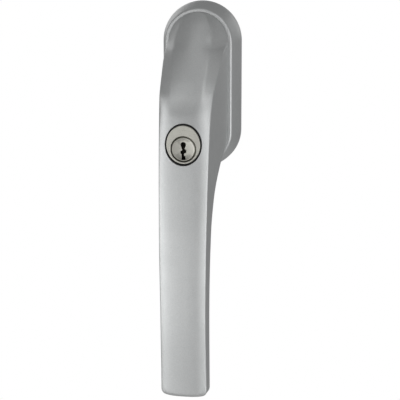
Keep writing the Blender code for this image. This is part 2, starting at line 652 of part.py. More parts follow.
def make_locking_bolt(material, axis):
    """Cup round the plug's tail: the cam pin drives its helical slot, and its rib keeps it from turning."""
    end, floor, chamfer = BOLT_NOSE + BOLT_LENGTH, BOLT_NOSE + 4.5 * MM, 0.6 * MM
    profile = ((0, BOLT_NOSE), (BOLT_R - chamfer, BOLT_NOSE), (BOLT_R, BOLT_NOSE + chamfer),
               (BOLT_R, end), (BOLT_INNER_R, end), (BOLT_INNER_R, floor), (0, floor))
    bolt = add("locking_bolt", turned(profile, z=PLUG_Z, steps=40), material, axis)
    rib = box((-RIB_HALF, -end, PLUG_Z + 3.6 * MM), (RIB_HALF, -end + 4.6 * MM, PLUG_Z + 5.3 * MM))
    combine(bolt, rib, "rib", "UNION")
    combine(bolt, helical_slot(), "cam_slot")


def helical_slot():
    """Swept box that follows the cam pin's path through the bolt, in the bolt's own frame at rest."""
    half = CAM_PIN_R + 0.35 * MM
    steps, run_on = 24, math.radians(18)
    rings = []
    for i in range(steps + 1):
        angle = -run_on + (math.pi + 2 * run_on) * i / steps
        depth = CAM_PIN_DEPTH + BOLT_THROW * min(max(angle / math.pi, 0.0), 1.0)
        outward = Vector((math.cos(angle), 0, -math.sin(angle)))
        corners = ((2.2 * MM, -half), (5.0 * MM, -half), (5.0 * MM, half), (2.2 * MM, half))
        rings.append([outward * r + Vector((0, -depth - offset, PLUG_Z)) for r, offset in corners])
    return lofted(rings)


def main():
    clear_scene()
    silver = finish("silver_paint", (0.46, 0.47, 0.47), 0.42, 0.75)
    zinc = finish("die_cast_zinc", (0.42, 0.43, 0.44), 0.5, 0.85)
    steel = finish("zinc_plated_steel", (0.60, 0.61, 0.62), 0.3, 1.0)
    spring_steel = finish("spring_steel", (0.35, 0.35, 0.36), 0.35, 1.0)
    nickel = finish("satin_nickel", (0.62, 0.60, 0.56), 0.28, 1.0)
    brass = finish("brass", (0.72, 0.55, 0.27), 0.3, 1.0)
    black = finish("black_plastic", (0.02, 0.02, 0.02), 0.5, 0.0)
    acetal = finish("white_acetal", (0.80, 0.80, 0.77), 0.4, 0.0)

    make_base_plate(zinc)
    make_rosette_cover(silver)
    make_fixing_screws(steel)
    make_support_bushes(zinc)
    make_bearing_bush(acetal)
    make_detent_springs(spring_steel)

    handle_axis = axis_empty("handle_axis", (0, 0, 0))
    make_lever(silver, handle_axis)
    make_detent_cam(steel, handle_axis)
    make_thrust_washer(steel, handle_axis)
    make_retaining_ring(spring_steel, handle_axis)
    make_spindle(steel, handle_axis)
    make_spindle_pin(spring_steel, handle_axis)
    make_lock_surround(black, handle_axis)
    make_lock_barrel(nickel, handle_axis)
    make_chamber_cover(brass, handle_axis)
    make_driver_pins(brass, handle_axis)
    make_pin_springs(spring_steel, handle_axis)
    make_retaining_screw(steel, handle_axis)

    plug_axis = axis_empty("plug_axis", (0, 0, PLUG_Z))
    make_lock_plug(nickel, plug_axis)
    make_key_pins(brass, plug_axis)
    make_plug_clip(spring_steel, plug_axis)
    make_cam_pin(steel, plug_axis)
    make_locking_bolt(steel, plug_axis)


main()
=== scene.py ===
"""Looks of a lockable tilt-and-turn window handle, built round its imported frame.

Everything is in metres, +Z up, with the origin on the spindle's axis in the
plane of the back face. A depth is a distance in front of that plane, so a
depth of d lies at Y = -d.
"""

import logging
import math
from dataclasses import dataclass, field
from enum import Enum
from typing import Callable, Iterable, Sequence

import bmesh
import bpy
from mathutils import Matrix, Vector


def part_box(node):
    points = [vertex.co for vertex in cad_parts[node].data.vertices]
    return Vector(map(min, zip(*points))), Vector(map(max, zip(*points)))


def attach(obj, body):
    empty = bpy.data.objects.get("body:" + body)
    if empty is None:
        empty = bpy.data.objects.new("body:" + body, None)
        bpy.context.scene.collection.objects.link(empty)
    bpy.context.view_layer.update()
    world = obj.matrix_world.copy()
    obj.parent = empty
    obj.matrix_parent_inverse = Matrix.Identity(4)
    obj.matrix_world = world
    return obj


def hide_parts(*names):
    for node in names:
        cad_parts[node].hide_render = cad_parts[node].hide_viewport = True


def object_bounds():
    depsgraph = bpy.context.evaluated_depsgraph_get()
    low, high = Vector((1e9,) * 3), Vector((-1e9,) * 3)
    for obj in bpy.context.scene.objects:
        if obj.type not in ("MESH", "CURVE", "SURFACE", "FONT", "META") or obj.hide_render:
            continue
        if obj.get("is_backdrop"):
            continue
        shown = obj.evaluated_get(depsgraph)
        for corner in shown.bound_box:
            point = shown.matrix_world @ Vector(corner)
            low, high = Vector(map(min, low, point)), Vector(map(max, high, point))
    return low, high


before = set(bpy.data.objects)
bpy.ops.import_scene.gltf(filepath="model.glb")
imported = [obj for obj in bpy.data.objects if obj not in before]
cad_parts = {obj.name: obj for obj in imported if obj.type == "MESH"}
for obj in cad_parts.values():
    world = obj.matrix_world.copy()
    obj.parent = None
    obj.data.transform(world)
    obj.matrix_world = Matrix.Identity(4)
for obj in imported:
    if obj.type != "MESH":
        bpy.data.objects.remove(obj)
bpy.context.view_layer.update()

LOG = logging.getLogger("tilt_turn_handle")
MM = 0.001

Point = tuple[float, float]
Colour = tuple[float, float, float]


# ------------------------------------------------------------------ curves and outlines
def curve_through(points: Sequence[Point], x: float) -> float:
    """Read a monotone cubic curve through (x, y) points.

    Args:
        points: the curve's own points, in any order, in millimetres.
        x: where to read it, in metres.

    Returns:
        The value there, in metres.
    """
    pts = sorted(points)
    at = min(max(x / MM, pts[0][0]), pts[-1][0])
    steps = [(b[1] - a[1]) / (b[0] - a[0]) for a, b in zip(pts, pts[1:])]
    slopes = [steps[0]]
    for before, after in zip(steps, steps[1:]):
        slopes.append(2 * before * after / (before + after) if before * after > 0 else 0.0)
    slopes.append(steps[-1])
    i = next(k for k in range(len(steps)) if at <= pts[k + 1][0])
    span = pts[i + 1][0] - pts[i][0]
    t = (at - pts[i][0]) / span
    value = (pts[i][1] * (1 + 2 * t) * (1 - t) ** 2 + pts[i + 1][1] * t * t * (3 - 2 * t)
             + span * slopes[i] * t * (1 - t) ** 2 - span * slopes[i + 1] * t * t * (1 - t))
    return value * MM


def smooth_step(low: float, high: float, value: float) -> float:
    """Rise from 0 at low to 1 at high, with level ends."""
    t = min(max((value - low) / (high - low), 0.0), 1.0)
    return t * t * (3 - 2 * t)


def arc_angles(count: int, start: float = 0.0, sweep: float = math.tau) -> list[float]:
    """Evenly spaced angles; a full turn leaves out its last one."""
    return [start + sweep * i / count for i in range(count)]


def racetrack(radius: float, arc_z: float, steps: int = 48) -> list[Point]:
    """Points of two half circles joined by straight sides, in (x, z).

    Args:
        radius: of the half circles.
        arc_z: height of their centres above and below the middle.
        steps: segments in each half circle.

    Returns:
        The outline, in order.
    """
    upper = [(radius * math.cos(a), arc_z + radius * math.sin(a))
             for a in (math.pi * i / steps for i in range(steps + 1))]
    return upper + [(-x, -z) for x, z in upper]


def ellipse(half_x: float, half_z: float, centre_z: float, steps: int = 96) -> list[Point]:
    """Points of an upright ellipse, in (x, z)."""
    return [(half_x * math.cos(a), centre_z + half_z * math.sin(a)) for a in arc_angles(steps)]


@dataclass(frozen=True)
class Point3:
    """A place on a level section: sideways, and in front of the back plane."""

    x: float
    depth: float


def rounded(start: Point3, corner: Point3, end: Point3, t: float) -> Point3:
    """Point on the smooth bend from start to end that a corner pulls outwards.

    Args:
        start: where the bend begins.
        corner: the corner that pulls it.
        end: where it ends.
        t: how far along it, from 0 to 1.

    Returns:
        The point.
    """
    a, b, c = (1 - t) ** 2, 2 * t * (1 - t), t * t
    return Point3(a * start.x + b * corner.x + c * end.x,
                  a * start.depth + b * corner.depth + c * end.depth)


def spaced(first: float, last: float, steps: int) -> list[float]:
    """Evenly spaced values, both ends included."""
    return [first + (last - first) * i / steps for i in range(steps + 1)]


# ------------------------------------------------------------------ mesh work
def loft(sections: Sequence[Sequence[Vector]]) -> bmesh.types.BMesh:
    """Extrude a ring through a row of sections and close both ends.

    Args:
        sections: rings with equal numbers of points, in order.

    Returns:
        A closed mesh whose faces point outwards.
    """
    bm = bmesh.new()
    made = bmesh.ops.create_circle(bm, cap_ends=False, segments=len(sections[0]), radius=1.0)
    ring = ring_in_order(made["verts"])
    for vert, point in zip(ring, sections[0]):
        vert.co = point
    for section in sections[1:]:
        ring = extrude_ring(bm, ring)
        for vert, point in zip(ring, section):
            vert.co = point
    bmesh.ops.holes_fill(bm, edges=bm.edges, sides=0)
    bmesh.ops.recalc_face_normals(bm, faces=bm.faces)
    return bm


def ring_in_order(verts: Iterable[bmesh.types.BMVert]) -> list[bmesh.types.BMVert]:
    """Walk round a closed ring of edges.

    Args:
        verts: the ring's vertices, in any order.

    Returns:
        The vertices in the order of the walk.
    """
    ring = [next(iter(verts))]
    seen = set(ring)
    while True:
        onward = [v for v in (e.other_vert(ring[-1]) for e in ring[-1].link_edges) if v not in seen]
        if not onward:
            return ring
        ring.append(onward[0])
        seen.add(onward[0])


def extrude_ring(bm: bmesh.types.BMesh, ring: Sequence[bmesh.types.BMVert]) -> list[bmesh.types.BMVert]:
    """Extrude a ring's edges and return the new ring in the same order.

    Args:
        bm: the mesh.
        ring: its ring, in order.

    Returns:
        The new ring.
    """
    pairs = list(zip(ring, list(ring[1:]) + [ring[0]]))
    edges = [bm.edges.get(pair) for pair in pairs]
    made = bmesh.ops.extrude_edge_only(bm, edges=edges)
    fresh = {v for v in made["geom"] if isinstance(v, bmesh.types.BMVert)}
    return [next(e.other_vert(v) for e in v.link_edges if e.other_vert(v) in fresh) for v in ring]


def slab(outline: Sequence[Point], back: float, front: float) -> bmesh.types.BMesh:
    """Extrude an (x, z) outline between two depths."""
    return loft([[Vector((x, -depth, z)) for x, z in outline] for depth in (back, front)])


def turned(profile: Sequence[Point], centre_z: float = 0.0, steps: int = 96) -> bmesh.types.BMesh:
    """Spin a closed (radius, depth) profile round an axis along Y.

    Args:
        profile: the outline of one half of the section.
        centre_z: the axis's height.
        steps: segments in the full turn.

    Returns:
        A closed mesh whose faces point outwards.
    """
    bm = bmesh.new()
    verts = [bm.verts.new((r, -depth, 0)) for r, depth in profile]
    edges = [bm.edges.new(pair) for pair in zip(verts, verts[1:] + verts[:1])]
    bmesh.ops.spin(bm, geom=verts + edges, axis=(0, 1, 0), cent=(0, 0, 0), angle=math.tau, steps=steps,
                   use_merge=True)
    bmesh.ops.remove_doubles(bm, verts=bm.verts, dist=1e-7)
    bmesh.ops.dissolve_degenerate(bm, edges=bm.edges, dist=1e-7)
    bmesh.ops.recalc_face_normals(bm, faces=bm.faces)
    bmesh.ops.translate(bm, vec=(0, 0, centre_z), verts=bm.verts)
    return bm


def rod(radius: float, back: float, front: float, centre: Point = (0.0, 0.0),
        steps: int = 64) -> bmesh.types.BMesh:
    """Cylinder along Y between two depths, centred on (x, z).

    Args:
        radius: its radius.
        back: depth of its back end.
        front: depth of its front end.
        centre: where its axis lies.
        steps: segments round it.

    Returns:
        The closed cylinder.
    """
    bm = bmesh.new()
    bmesh.ops.create_cone(bm, segments=steps, radius1=radius, radius2=radius, depth=abs(front - back),
                          cap_ends=True)
    place = (Matrix.Translation((centre[0], -(back + front) / 2, centre[1]))
             @ Matrix.Rotation(math.pi / 2, 4, "X"))
    bmesh.ops.transform(bm, matrix=place, verts=bm.verts)
    return bm


def cross_rod(radius: float, half_length: float, depth: float, steps: int = 32) -> bmesh.types.BMesh:
    """Cylinder along X through the spindle's axis at a depth.

    Args:
        radius: its radius.
        half_length: half of its length.
        depth: where its axis lies.
        steps: segments round it.

    Returns:
        The closed cylinder.
    """
    bm = bmesh.new()
    bmesh.ops.create_cone(bm, segments=steps, radius1=radius, radius2=radius, depth=2 * half_length,
                          cap_ends=True)
    place = Matrix.Translation((0, -depth, 0)) @ Matrix.Rotation(math.pi / 2, 4, "Y")
    bmesh.ops.transform(bm, matrix=place, verts=bm.verts)
    return bm


def block(low: Sequence[float], high: Sequence[float]) -> bmesh.types.BMesh:
    """Box between two corners.

    Args:
        low: the lowest corner.
        high: the highest corner.

    Returns:
        The closed box.
    """
    bm = bmesh.new()
    bmesh.ops.create_cube(bm, size=1.0)
    size = [b - a for a, b in zip(low, high)]
    middle = [(a + b) / 2 for a, b in zip(low, high)]
    bmesh.ops.transform(bm, matrix=Matrix.Translation(middle) @ Matrix.Diagonal((*size, 1.0)),
                        verts=bm.verts)
    return bm


def soften(bm: bmesh.types.BMesh, width: float, segments: int = 2, angle: float = 35.0,
           where: Callable[[bmesh.types.BMEdge], bool] | None = None) -> None:
    """Bevel the sharp edges of a mesh.

    Args:
        bm: the mesh.
        width: the bevel's width.
        segments: how many faces make the round.
        angle: edges that turn by more than this, in degrees, are taken.
        where: an optional further test for an edge.
    """
    limit = math.radians(angle)
    sharp = [e for e in bm.edges if len(e.link_faces) == 2 and e.calc_face_angle(0.0) > limit
             and (where is None or where(e))]
    bmesh.ops.bevel(bm, geom=sharp, offset=width, offset_type="OFFSET", affect="EDGES", segments=segments,
                    profile=0.5, material=-1, clamp_overlap=True)


class Combine(Enum):
    """How a tool shape acts on a piece."""

    CUT = "DIFFERENCE"
    JOIN = "UNION"


def new_object(name: str, bm: bmesh.types.BMesh) -> bpy.types.Object:
    """Turn a mesh into an object at the origin, and free the mesh.

    Args:
        name: the object's name.
        bm: its mesh.

    Returns:
        The object, in the scene.
    """
    mesh = bpy.data.meshes.new(name)
    bm.to_mesh(mesh)
    bm.free()
    obj = bpy.data.objects.new(name, mesh)
    bpy.context.scene.collection.objects.link(obj)
    return obj


def combine(bm: bmesh.types.BMesh, tool: bmesh.types.BMesh, how: Combine) -> bmesh.types.BMesh:
    """Apply one Boolean and return the result.

    Args:
        bm: the piece, which is freed.
        tool: the other shape, which is freed.
        how: cut it away, or join it on.

    Returns:
        The new mesh.
    """
    target, other = new_object("target", bm), new_object("tool", tool)
    modifier = target.modifiers.new("combine", "BOOLEAN")
    modifier.operation = how.value
    modifier.solver = "EXACT"
    modifier.object = other
    bpy.context.view_layer.update()
    evaluated = target.evaluated_get(bpy.context.evaluated_depsgraph_get())
    result = bmesh.new()
    result.from_mesh(evaluated.to_mesh())
    evaluated.to_mesh_clear()
    for spent in (target, other):
        mesh = spent.data
        bpy.data.objects.remove(spent, do_unlink=True)
        bpy.data.meshes.remove(mesh)
    bmesh.ops.remove_doubles(result, verts=result.verts, dist=1e-7)
    return result


# ------------------------------------------------------------------ shader helpers
class Shader:
    """Small wrapper that adds nodes to one tree."""

    def __init__(self, tree: bpy.types.NodeTree) -> None:
        """Keep the tree that nodes go into."""
        self.tree = tree

    def node(self, kind: str, **settings: object) -> bpy.types.Node:
        """Add a node, with attributes and numbered or named input values.

        Args:
            kind: the node's type name, without its ShaderNode prefix.
            settings: attributes, or inputs given as in_NAME with spaces as underscores.

        Returns:
            The node.
        """
        made = self.tree.nodes.new(kind if kind.startswith("Node") else f"ShaderNode{kind}")
        for name, value in settings.items():
            if name.startswith("in_"):
                made.inputs[name[3:].replace("_", " ")].default_value = value
            else:
                setattr(made, name, value)
        return made

    def link(self, source: bpy.types.NodeSocket, target: bpy.types.NodeSocket) -> None:
        """Join two sockets."""
        self.tree.links.new(source, target)

    def math(self, operation: str, first: object, second: object = 0.0) -> bpy.types.NodeSocket:
        """Add a Math node on sockets or numbers and return its output.

        Args:
            operation: the node's operation.
            first: a socket or a number.
            second: a socket or a number.

        Returns:
            The result.
        """
        made = self.node("Math", operation=operation)
        for socket, value in zip(made.inputs, (first, second)):
            if isinstance(value, bpy.types.NodeSocket):
                self.link(value, socket)
            else:
                socket.default_value = value
        return made.outputs[0]

    def noise(self, vector: bpy.types.NodeSocket, scale: object, detail: float = 3.0,
              roughness: float = 0.55) -> bpy.types.NodeSocket:
        """Add a noise texture and return its value.

        Args:
            vector: where it is read.
            scale: a socket or a number.
            detail: how many finer layers it has.
            roughness: how strong those layers are.

        Returns:
            The noise, from 0 to 1.
        """
        made = self.node("TexNoise", in_Detail=detail, in_Roughness=roughness)
        self.link(vector, made.inputs["Vector"])
        if isinstance(scale, bpy.types.NodeSocket):
            self.link(scale, made.inputs["Scale"])
        else:
            made.inputs["Scale"].default_value = scale
        return made.outputs["Fac"]

    def spread(self, value: bpy.types.NodeSocket, low: float, high: float) -> bpy.types.NodeSocket:
        """Map a 0.3 to 0.7 noise value to a range and return it.

        Args:
            value: the noise.
            low: what 0.3 becomes.
            high: what 0.7 becomes.

        Returns:
            The mapped value.
        """
        made = self.node("MapRange")
        made.inputs["From Min"].default_value = 0.3
        made.inputs["From Max"].default_value = 0.7
        made.inputs["To Min"].default_value = low
        made.inputs["To Max"].default_value = high
        self.link(value, made.inputs["Value"])
        return made.outputs["Result"]


def make_group(name: str, inputs: dict[str, float], outputs: Sequence[str],
               build: Callable[[Shader, bpy.types.Node, bpy.types.Node], None]) -> bpy.types.NodeTree:
    """Make a shader node group with a Vector input and float inputs and outputs.

    Args:
        name: the group's name.
        inputs: float inputs and their defaults.
        outputs: float outputs.
        build: fills the group, given its helper, input node and output node.

    Returns:
        The group's tree.
    """
    tree = bpy.data.node_groups.new(name, "ShaderNodeTree")
    tree.interface.new_socket("Vector", in_out="INPUT", socket_type="NodeSocketVector")
    for label, value in inputs.items():
        socket = tree.interface.new_socket(label, in_out="INPUT", socket_type="NodeSocketFloat")
        socket.default_value = value
    for label in outputs:
        tree.interface.new_socket(label, in_out="OUTPUT", socket_type="NodeSocketFloat")
    shader = Shader(tree)
    build(shader, shader.node("NodeGroupInput"), shader.node("NodeGroupOutput"))
    return tree


def build_flake(shader: Shader, given: bpy.types.Node, out: bpy.types.Node) -> None:
    """Metallic flakes: each small cell has its own brightness, over a soft large mottle.

    Args:
        shader: adds the nodes.
        given: the group's input node.
        out: the group's output node.
    """
    cells = shader.node("TexVoronoi", feature="F1")
    shader.link(given.outputs["Vector"], cells.inputs["Vector"])
    shader.link(given.outputs["Cell Scale"], cells.inputs["Scale"])
    brightness = shader.node("SeparateColor")
    shader.link(cells.outputs["Color"], brightness.inputs["Color"])
    mottle = shader.noise(given.outputs["Vector"], given.outputs["Mottle Scale"], 4.0)
    shader.link(brightness.outputs["Red"], out.inputs["Sparkle"])
    shader.link(mottle, out.inputs["Mottle"])
    shader.link(shader.math("MULTIPLY", brightness.outputs["Green"], 0.3), out.inputs["Height"])


def build_brushing(shader: Shader, given: bpy.types.Node, out: bpy.types.Node) -> None:
    """Fine lines along one way, with a few deeper strokes among them.

    Args:
        shader: adds the nodes.
        given: the group's input node.
        out: the group's output node.
    """
    fine = shader.noise(given.outputs["Vector"], given.outputs["Line Scale"], 6.0, 0.7)
    strokes = shader.noise(given.outputs["Vector"], given.outputs["Stroke Scale"], 2.0, 0.4)
    deep = shader.math("GREATER_THAN", strokes, 0.63)
    mixed = shader.math("SUBTRACT", fine, shader.math("MULTIPLY", deep, 0.25))
    shader.link(fine, out.inputs["Lines"])
    shader.link(mixed, out.inputs["Height"])


def build_handling(shader: Shader, given: bpy.types.Node, out: bpy.types.Node) -> None:
    """Broad, faint patches left by hands and dust.

    Args:
        shader: adds the nodes.
        given: the group's input node.
        out: the group's output node.
    """
    broad = shader.noise(given.outputs["Vector"], given.outputs["Patch Scale"], 3.0, 0.5)
    fine = shader.noise(given.outputs["Vector"], given.outputs["Dust Scale"], 2.0, 0.6)
    shader.link(broad, out.inputs["Patches"])
    shader.link(shader.math("GREATER_THAN", fine, 0.7), out.inputs["Dust"])


class Effect(Enum):
    """Shared surface effects, each made once as a node group."""

    FLAKE = "metal_flake"
    BRUSHING = "brushed_lines"
    HANDLING = "handling_marks"


EFFECT_PARTS: dict[Effect, tuple[dict[str, float], tuple[str, ...], Callable]] = {
    Effect.FLAKE: ({"Cell Scale": 5000.0, "Mottle Scale": 300.0},
                   ("Sparkle", "Mottle", "Height"), build_flake),
    Effect.BRUSHING: ({"Line Scale": 900.0, "Stroke Scale": 400.0}, ("Lines", "Height"), build_brushing),
    Effect.HANDLING: ({"Patch Scale": 40.0, "Dust Scale": 2500.0}, ("Patches", "Dust"), build_handling),
}


def effect_tree(effect: Effect) -> bpy.types.NodeTree:
    """Return the effect's group, making it the first time.

    Args:
        effect: which effect.

    Returns:
        The group's tree.
    """
    if effect.value not in bpy.data.node_groups:
        inputs, outputs, build = EFFECT_PARTS[effect]
        make_group(effect.value, inputs, outputs, build)
    return bpy.data.node_groups[effect.value]


# ------------------------------------------------------------------ finishes
@dataclass(frozen=True)
class Finish:
    """What every finish has: a name, two close colours and the shader's constants."""

    name: str
    dark: Colour
    light: Colour
    metallic: float
    roughness: tuple[float, float]
    bump: float = 0.1
    bump_depth: float = 0.00002
    specular: float = 0.5
    coat: float = 0.0

    def start(self) -> tuple[Shader, bpy.types.Node, bpy.types.NodeSocket, bpy.types.Material]:
        """Make the material with its constants, and give its shader node and object coordinates.

        Returns:
            The helper, the surface shader, the object coordinates and the material.
        """
        material = bpy.data.materials.new(self.name)
        material.use_nodes = True
        shader = Shader(material.node_tree)
        surface = material.node_tree.nodes["Principled BSDF"]
        surface.inputs["Metallic"].default_value = self.metallic
        surface.inputs["Specular IOR Level"].default_value = self.specular
        surface.inputs["Coat Weight"].default_value = self.coat
        surface.inputs["Coat Roughness"].default_value = 0.12
        place = shader.node("TexCoord")
        material.diffuse_color = (*self.light, 1.0)
        return shader, surface, place.outputs["Object"], material

    def effect(self, shader: Shader, vector: bpy.types.NodeSocket, effect: Effect,
               **values: float) -> bpy.types.Node:
        """Place a shared effect on a vector, with its own values.

        Args:
            shader: adds the nodes.
            vector: where the effect is read.
            effect: which effect.
            values: its inputs, with spaces as underscores.

        Returns:
            The group node.
        """
        made = shader.node("Group")
        made.node_tree = effect_tree(effect)
        shader.link(vector, made.inputs["Vector"])
        for label, value in values.items():
            made.inputs[label.replace("_", " ")].default_value = value
        return made

    def tint(self, shader: Shader, surface: bpy.types.Node, value: bpy.types.NodeSocket) -> None:
        """Mix the two colours by a value and feed Base Color.

        Args:
            shader: adds the nodes.
            surface: the surface shader.
            value: 0 for the dark colour, 1 for the light one.
        """
        mix = shader.node("Mix", data_type="RGBA")
        for socket, colour in ((6, self.dark), (7, self.light)):
            mix.inputs[socket].default_value = (*colour, 1.0)
        shader.link(value, mix.inputs[0])
        shader.link(mix.outputs[2], surface.inputs["Base Color"])

    def raise_surface(self, shader: Shader, surface: bpy.types.Node, height: bpy.types.NodeSocket) -> None:
        """Feed a height through a Bump node.

        Args:
            shader: adds the nodes.
            surface: the surface shader.
            height: the height.
        """
        bump = shader.node("Bump", in_Strength=self.bump, in_Distance=self.bump_depth)
        shader.link(height, bump.inputs["Height"])
        shader.link(bump.outputs["Normal"], surface.inputs["Normal"])

    def stretched(self, shader: Shader, vector: bpy.types.NodeSocket,
                  scale: Sequence[float]) -> bpy.types.NodeSocket:
        """Scale the coordinates unevenly, which draws a pattern out along one way.

        Args:
            shader: adds the nodes.
            vector: the coordinates.
            scale: the scale along each axis.

        Returns:
            The scaled coordinates.
        """
        mapping = shader.node("Mapping")
        mapping.inputs["Scale"].default_value = scale
        shader.link(vector, mapping.inputs["Vector"])
        return mapping.outputs["Vector"]


@dataclass(frozen=True)
class SatinPaint(Finish):
    """Silver-grey metallic lacquer with fine flakes and a faint orange peel."""

    flake_scale: float = 5200.0
    peel_scale: float = 650.0

    def build(self) -> bpy.types.Material:
        """Make the material.

        Returns:
            The finished material.
        """
        shader, surface, place, material = self.start()
        flake = self.effect(shader, place, Effect.FLAKE, Cell_Scale=self.flake_scale)
        marks = self.effect(shader, place, Effect.HANDLING, Patch_Scale=55.0)
        mottle = shader.spread(flake.outputs["Mottle"], 0.44, 0.56)
        sparkle = shader.math("MULTIPLY", shader.math("SUBTRACT", flake.outputs["Sparkle"], 0.5), 0.55)
        self.tint(shader, surface, shader.math("ADD", mottle, sparkle))
        rough = shader.spread(marks.outputs["Patches"], *self.roughness)
        shader.link(rough, surface.inputs["Roughness"])
        peel = shader.noise(place, self.peel_scale, 2.0)
        height = shader.math("ADD", peel, flake.outputs["Height"])
        self.raise_surface(shader, surface, height)
        return material


@dataclass(frozen=True)
class CastMetal(Finish):
    """Matt die-cast metal with a grained skin and flow marks."""

    grain_scale: float = 1600.0

    def build(self) -> bpy.types.Material:
        """Make the material.

        Returns:
            The finished material.
        """
        shader, surface, place, material = self.start()
        flow = shader.noise(self.stretched(shader, place, (1.0, 1.0, 0.25)), 220.0, 5.0)
        self.tint(shader, surface, shader.spread(flow, 0.0, 1.0))
        grain = shader.noise(place, self.grain_scale, 4.0, 0.65)
        shader.link(shader.spread(grain, *self.roughness), surface.inputs["Roughness"])
        pits = shader.math("GREATER_THAN", shader.noise(place, self.grain_scale * 0.6, 2.0), 0.66)
        self.raise_surface(shader, surface,
                           shader.math("SUBTRACT", grain, shader.math("MULTIPLY", pits, 0.6)))
        return material


@dataclass(frozen=True)
class WorkedMetal(Finish):
    """Plated, brushed or turned metal, with its lines drawn out along one way."""

    stretch: tuple[float, float, float] = (1.0, 1.0, 1.0)
    line_scale: float = 4200.0

    def build(self) -> bpy.types.Material:
        """Make the material.

        Returns:
            The finished material.
        """
        shader, surface, place, material = self.start()
        drawn = self.stretched(shader, place, self.stretch)
        lines = self.effect(shader, drawn, Effect.BRUSHING, Line_Scale=self.line_scale,
                            Stroke_Scale=self.line_scale * 0.4)
        marks = self.effect(shader, place, Effect.HANDLING, Patch_Scale=160.0)
        patches = shader.spread(marks.outputs["Patches"], 0.1, 0.6)
        fine = shader.spread(lines.outputs["Lines"], 0.0, 0.4)
        self.tint(shader, surface, shader.math("ADD", patches, fine))
        shader.link(shader.spread(lines.outputs["Lines"], *self.roughness), surface.inputs["Roughness"])
        self.raise_surface(shader, surface, lines.outputs["Height"])
        return material


@dataclass(frozen=True)
class MouldedPlastic(Finish):
    """Plain plastic with the fine spark-eroded grain of its mould and a little dust."""

    grain_scale: float = 3200.0

    def build(self) -> bpy.types.Material:
        """Make the material.

        Returns:
            The finished material.
        """
        shader, surface, place, material = self.start()
        marks = self.effect(shader, place, Effect.HANDLING, Patch_Scale=90.0)
        patches = shader.spread(marks.outputs["Patches"], 0.0, 0.7)
        dust = shader.math("MULTIPLY", marks.outputs["Dust"], 0.3)
        self.tint(shader, surface, shader.math("ADD", patches, dust))
        grain = shader.noise(place, self.grain_scale, 3.0)
        shader.link(shader.spread(grain, *self.roughness), surface.inputs["Roughness"])
        self.raise_surface(shader, surface, grain)
        return material


class Slot(Enum):
    """The record's material slots."""

    PAINT = "silver_paint"
    ZINC = "die_cast_zinc"
    STEEL = "zinc_plated_steel"
    SPRING = "spring_steel"
    NICKEL = "satin_nickel"
    BRASS = "brass"
    BLACK = "black_plastic"
    ACETAL = "white_acetal"


FINISHES: dict[Slot, Finish] = {
    Slot.PAINT: SatinPaint("satin_silver_lacquer", (0.42, 0.43, 0.43), (0.54, 0.55, 0.55), 0.85,
                           (0.38, 0.42), bump=0.2, bump_depth=0.00002),
    Slot.ZINC: CastMetal("raw_zinc_casting", (0.30, 0.31, 0.32), (0.44, 0.45, 0.46), 0.9,
                         (0.42, 0.62), bump=0.5, bump_depth=0.00005),
    Slot.STEEL: WorkedMetal("bright_zinc_plate", (0.50, 0.52, 0.55), (0.68, 0.69, 0.68), 1.0,
                            (0.20, 0.34), bump=0.15, stretch=(1.0, 0.12, 1.0)),
    Slot.SPRING: WorkedMetal("oiled_spring_steel", (0.16, 0.16, 0.17), (0.30, 0.30, 0.31), 1.0,
                             (0.22, 0.38), bump=0.2),
    Slot.NICKEL: WorkedMetal("brushed_satin_nickel", (0.33, 0.325, 0.295), (0.43, 0.425, 0.385), 1.0,
                             (0.26, 0.36), bump=0.2, stretch=(0.08, 1.0, 1.0), line_scale=4200.0),
    Slot.BRASS: WorkedMetal("turned_brass", (0.55, 0.40, 0.17), (0.74, 0.58, 0.29), 1.0, (0.2, 0.34),
                            bump=0.2, stretch=(0.15, 0.15, 1.0), line_scale=3000.0),
    Slot.BLACK: MouldedPlastic("black_moulding", (0.006, 0.006, 0.006), (0.02, 0.02, 0.021), 0.0,
                               (0.5, 0.65), bump=0.3, specular=0.15),
    Slot.ACETAL: MouldedPlastic("natural_acetal", (0.66, 0.66, 0.62), (0.80, 0.80, 0.77), 0.0,
                                (0.32, 0.46), bump=0.2),
}

MADE: dict[Slot, bpy.types.Material] = {}


def material_for(slot: Slot) -> bpy.types.Material:
    """Return a slot's material, building it the first time.

    Args:
        slot: which slot.

    Returns:
        The material.
    """
    if slot not in MADE:
        MADE[slot] = FINISHES[slot].build()
    return MADE[slot]


# ------------------------------------------------------------------ sub-assemblies
class Body(Enum):
    """The frame's moving bodies."""

    ROSETTE = "rosette"
    HANDLE = "handle"
    PLUG = "plug"
    BOLT = "bolt"


@dataclass
class SubAssembly:
    """A group of pieces that are built, dressed and reported together."""

    smooth_angle: float = 32.0
    pieces: list[bpy.types.Object] = field(default_factory=list, init=False)

    def add(self, name: str, bm: bmesh.types.BMesh, body: Body, slot: Slot, *nodes: str,
            angle: float | None = None) -> bpy.types.Object:
        """Finish one piece: shade it, dress it and hang it on its body.

        Args:
            name: the piece's name.
            bm: its mesh, in place.
            body: the body that it moves with.
            slot: the material slot that it is finished in.
            nodes: the frame nodes that it stands for.
            angle: edges that turn by more than this many degrees stay crisp.

        Returns:
            The finished object.
        """
        bmesh.ops.recalc_face_normals(bm, faces=bm.faces)
        obj = new_object(name, bm)
        obj.data.shade_smooth()
        obj.data.set_sharp_from_angle(angle=math.radians(angle or self.smooth_angle))
        even = obj.modifiers.new("even_normals", "WEIGHTED_NORMAL")
        even.keep_sharp = True
        obj.data.materials.append(material_for(slot))
        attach(obj, body.value)
        if nodes:
            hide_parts(*nodes)
        self.pieces.append(obj)
        LOG.info("%s: %d faces on %s in %s", name, len(obj.data.polygons), body.value, slot.value)
        return obj


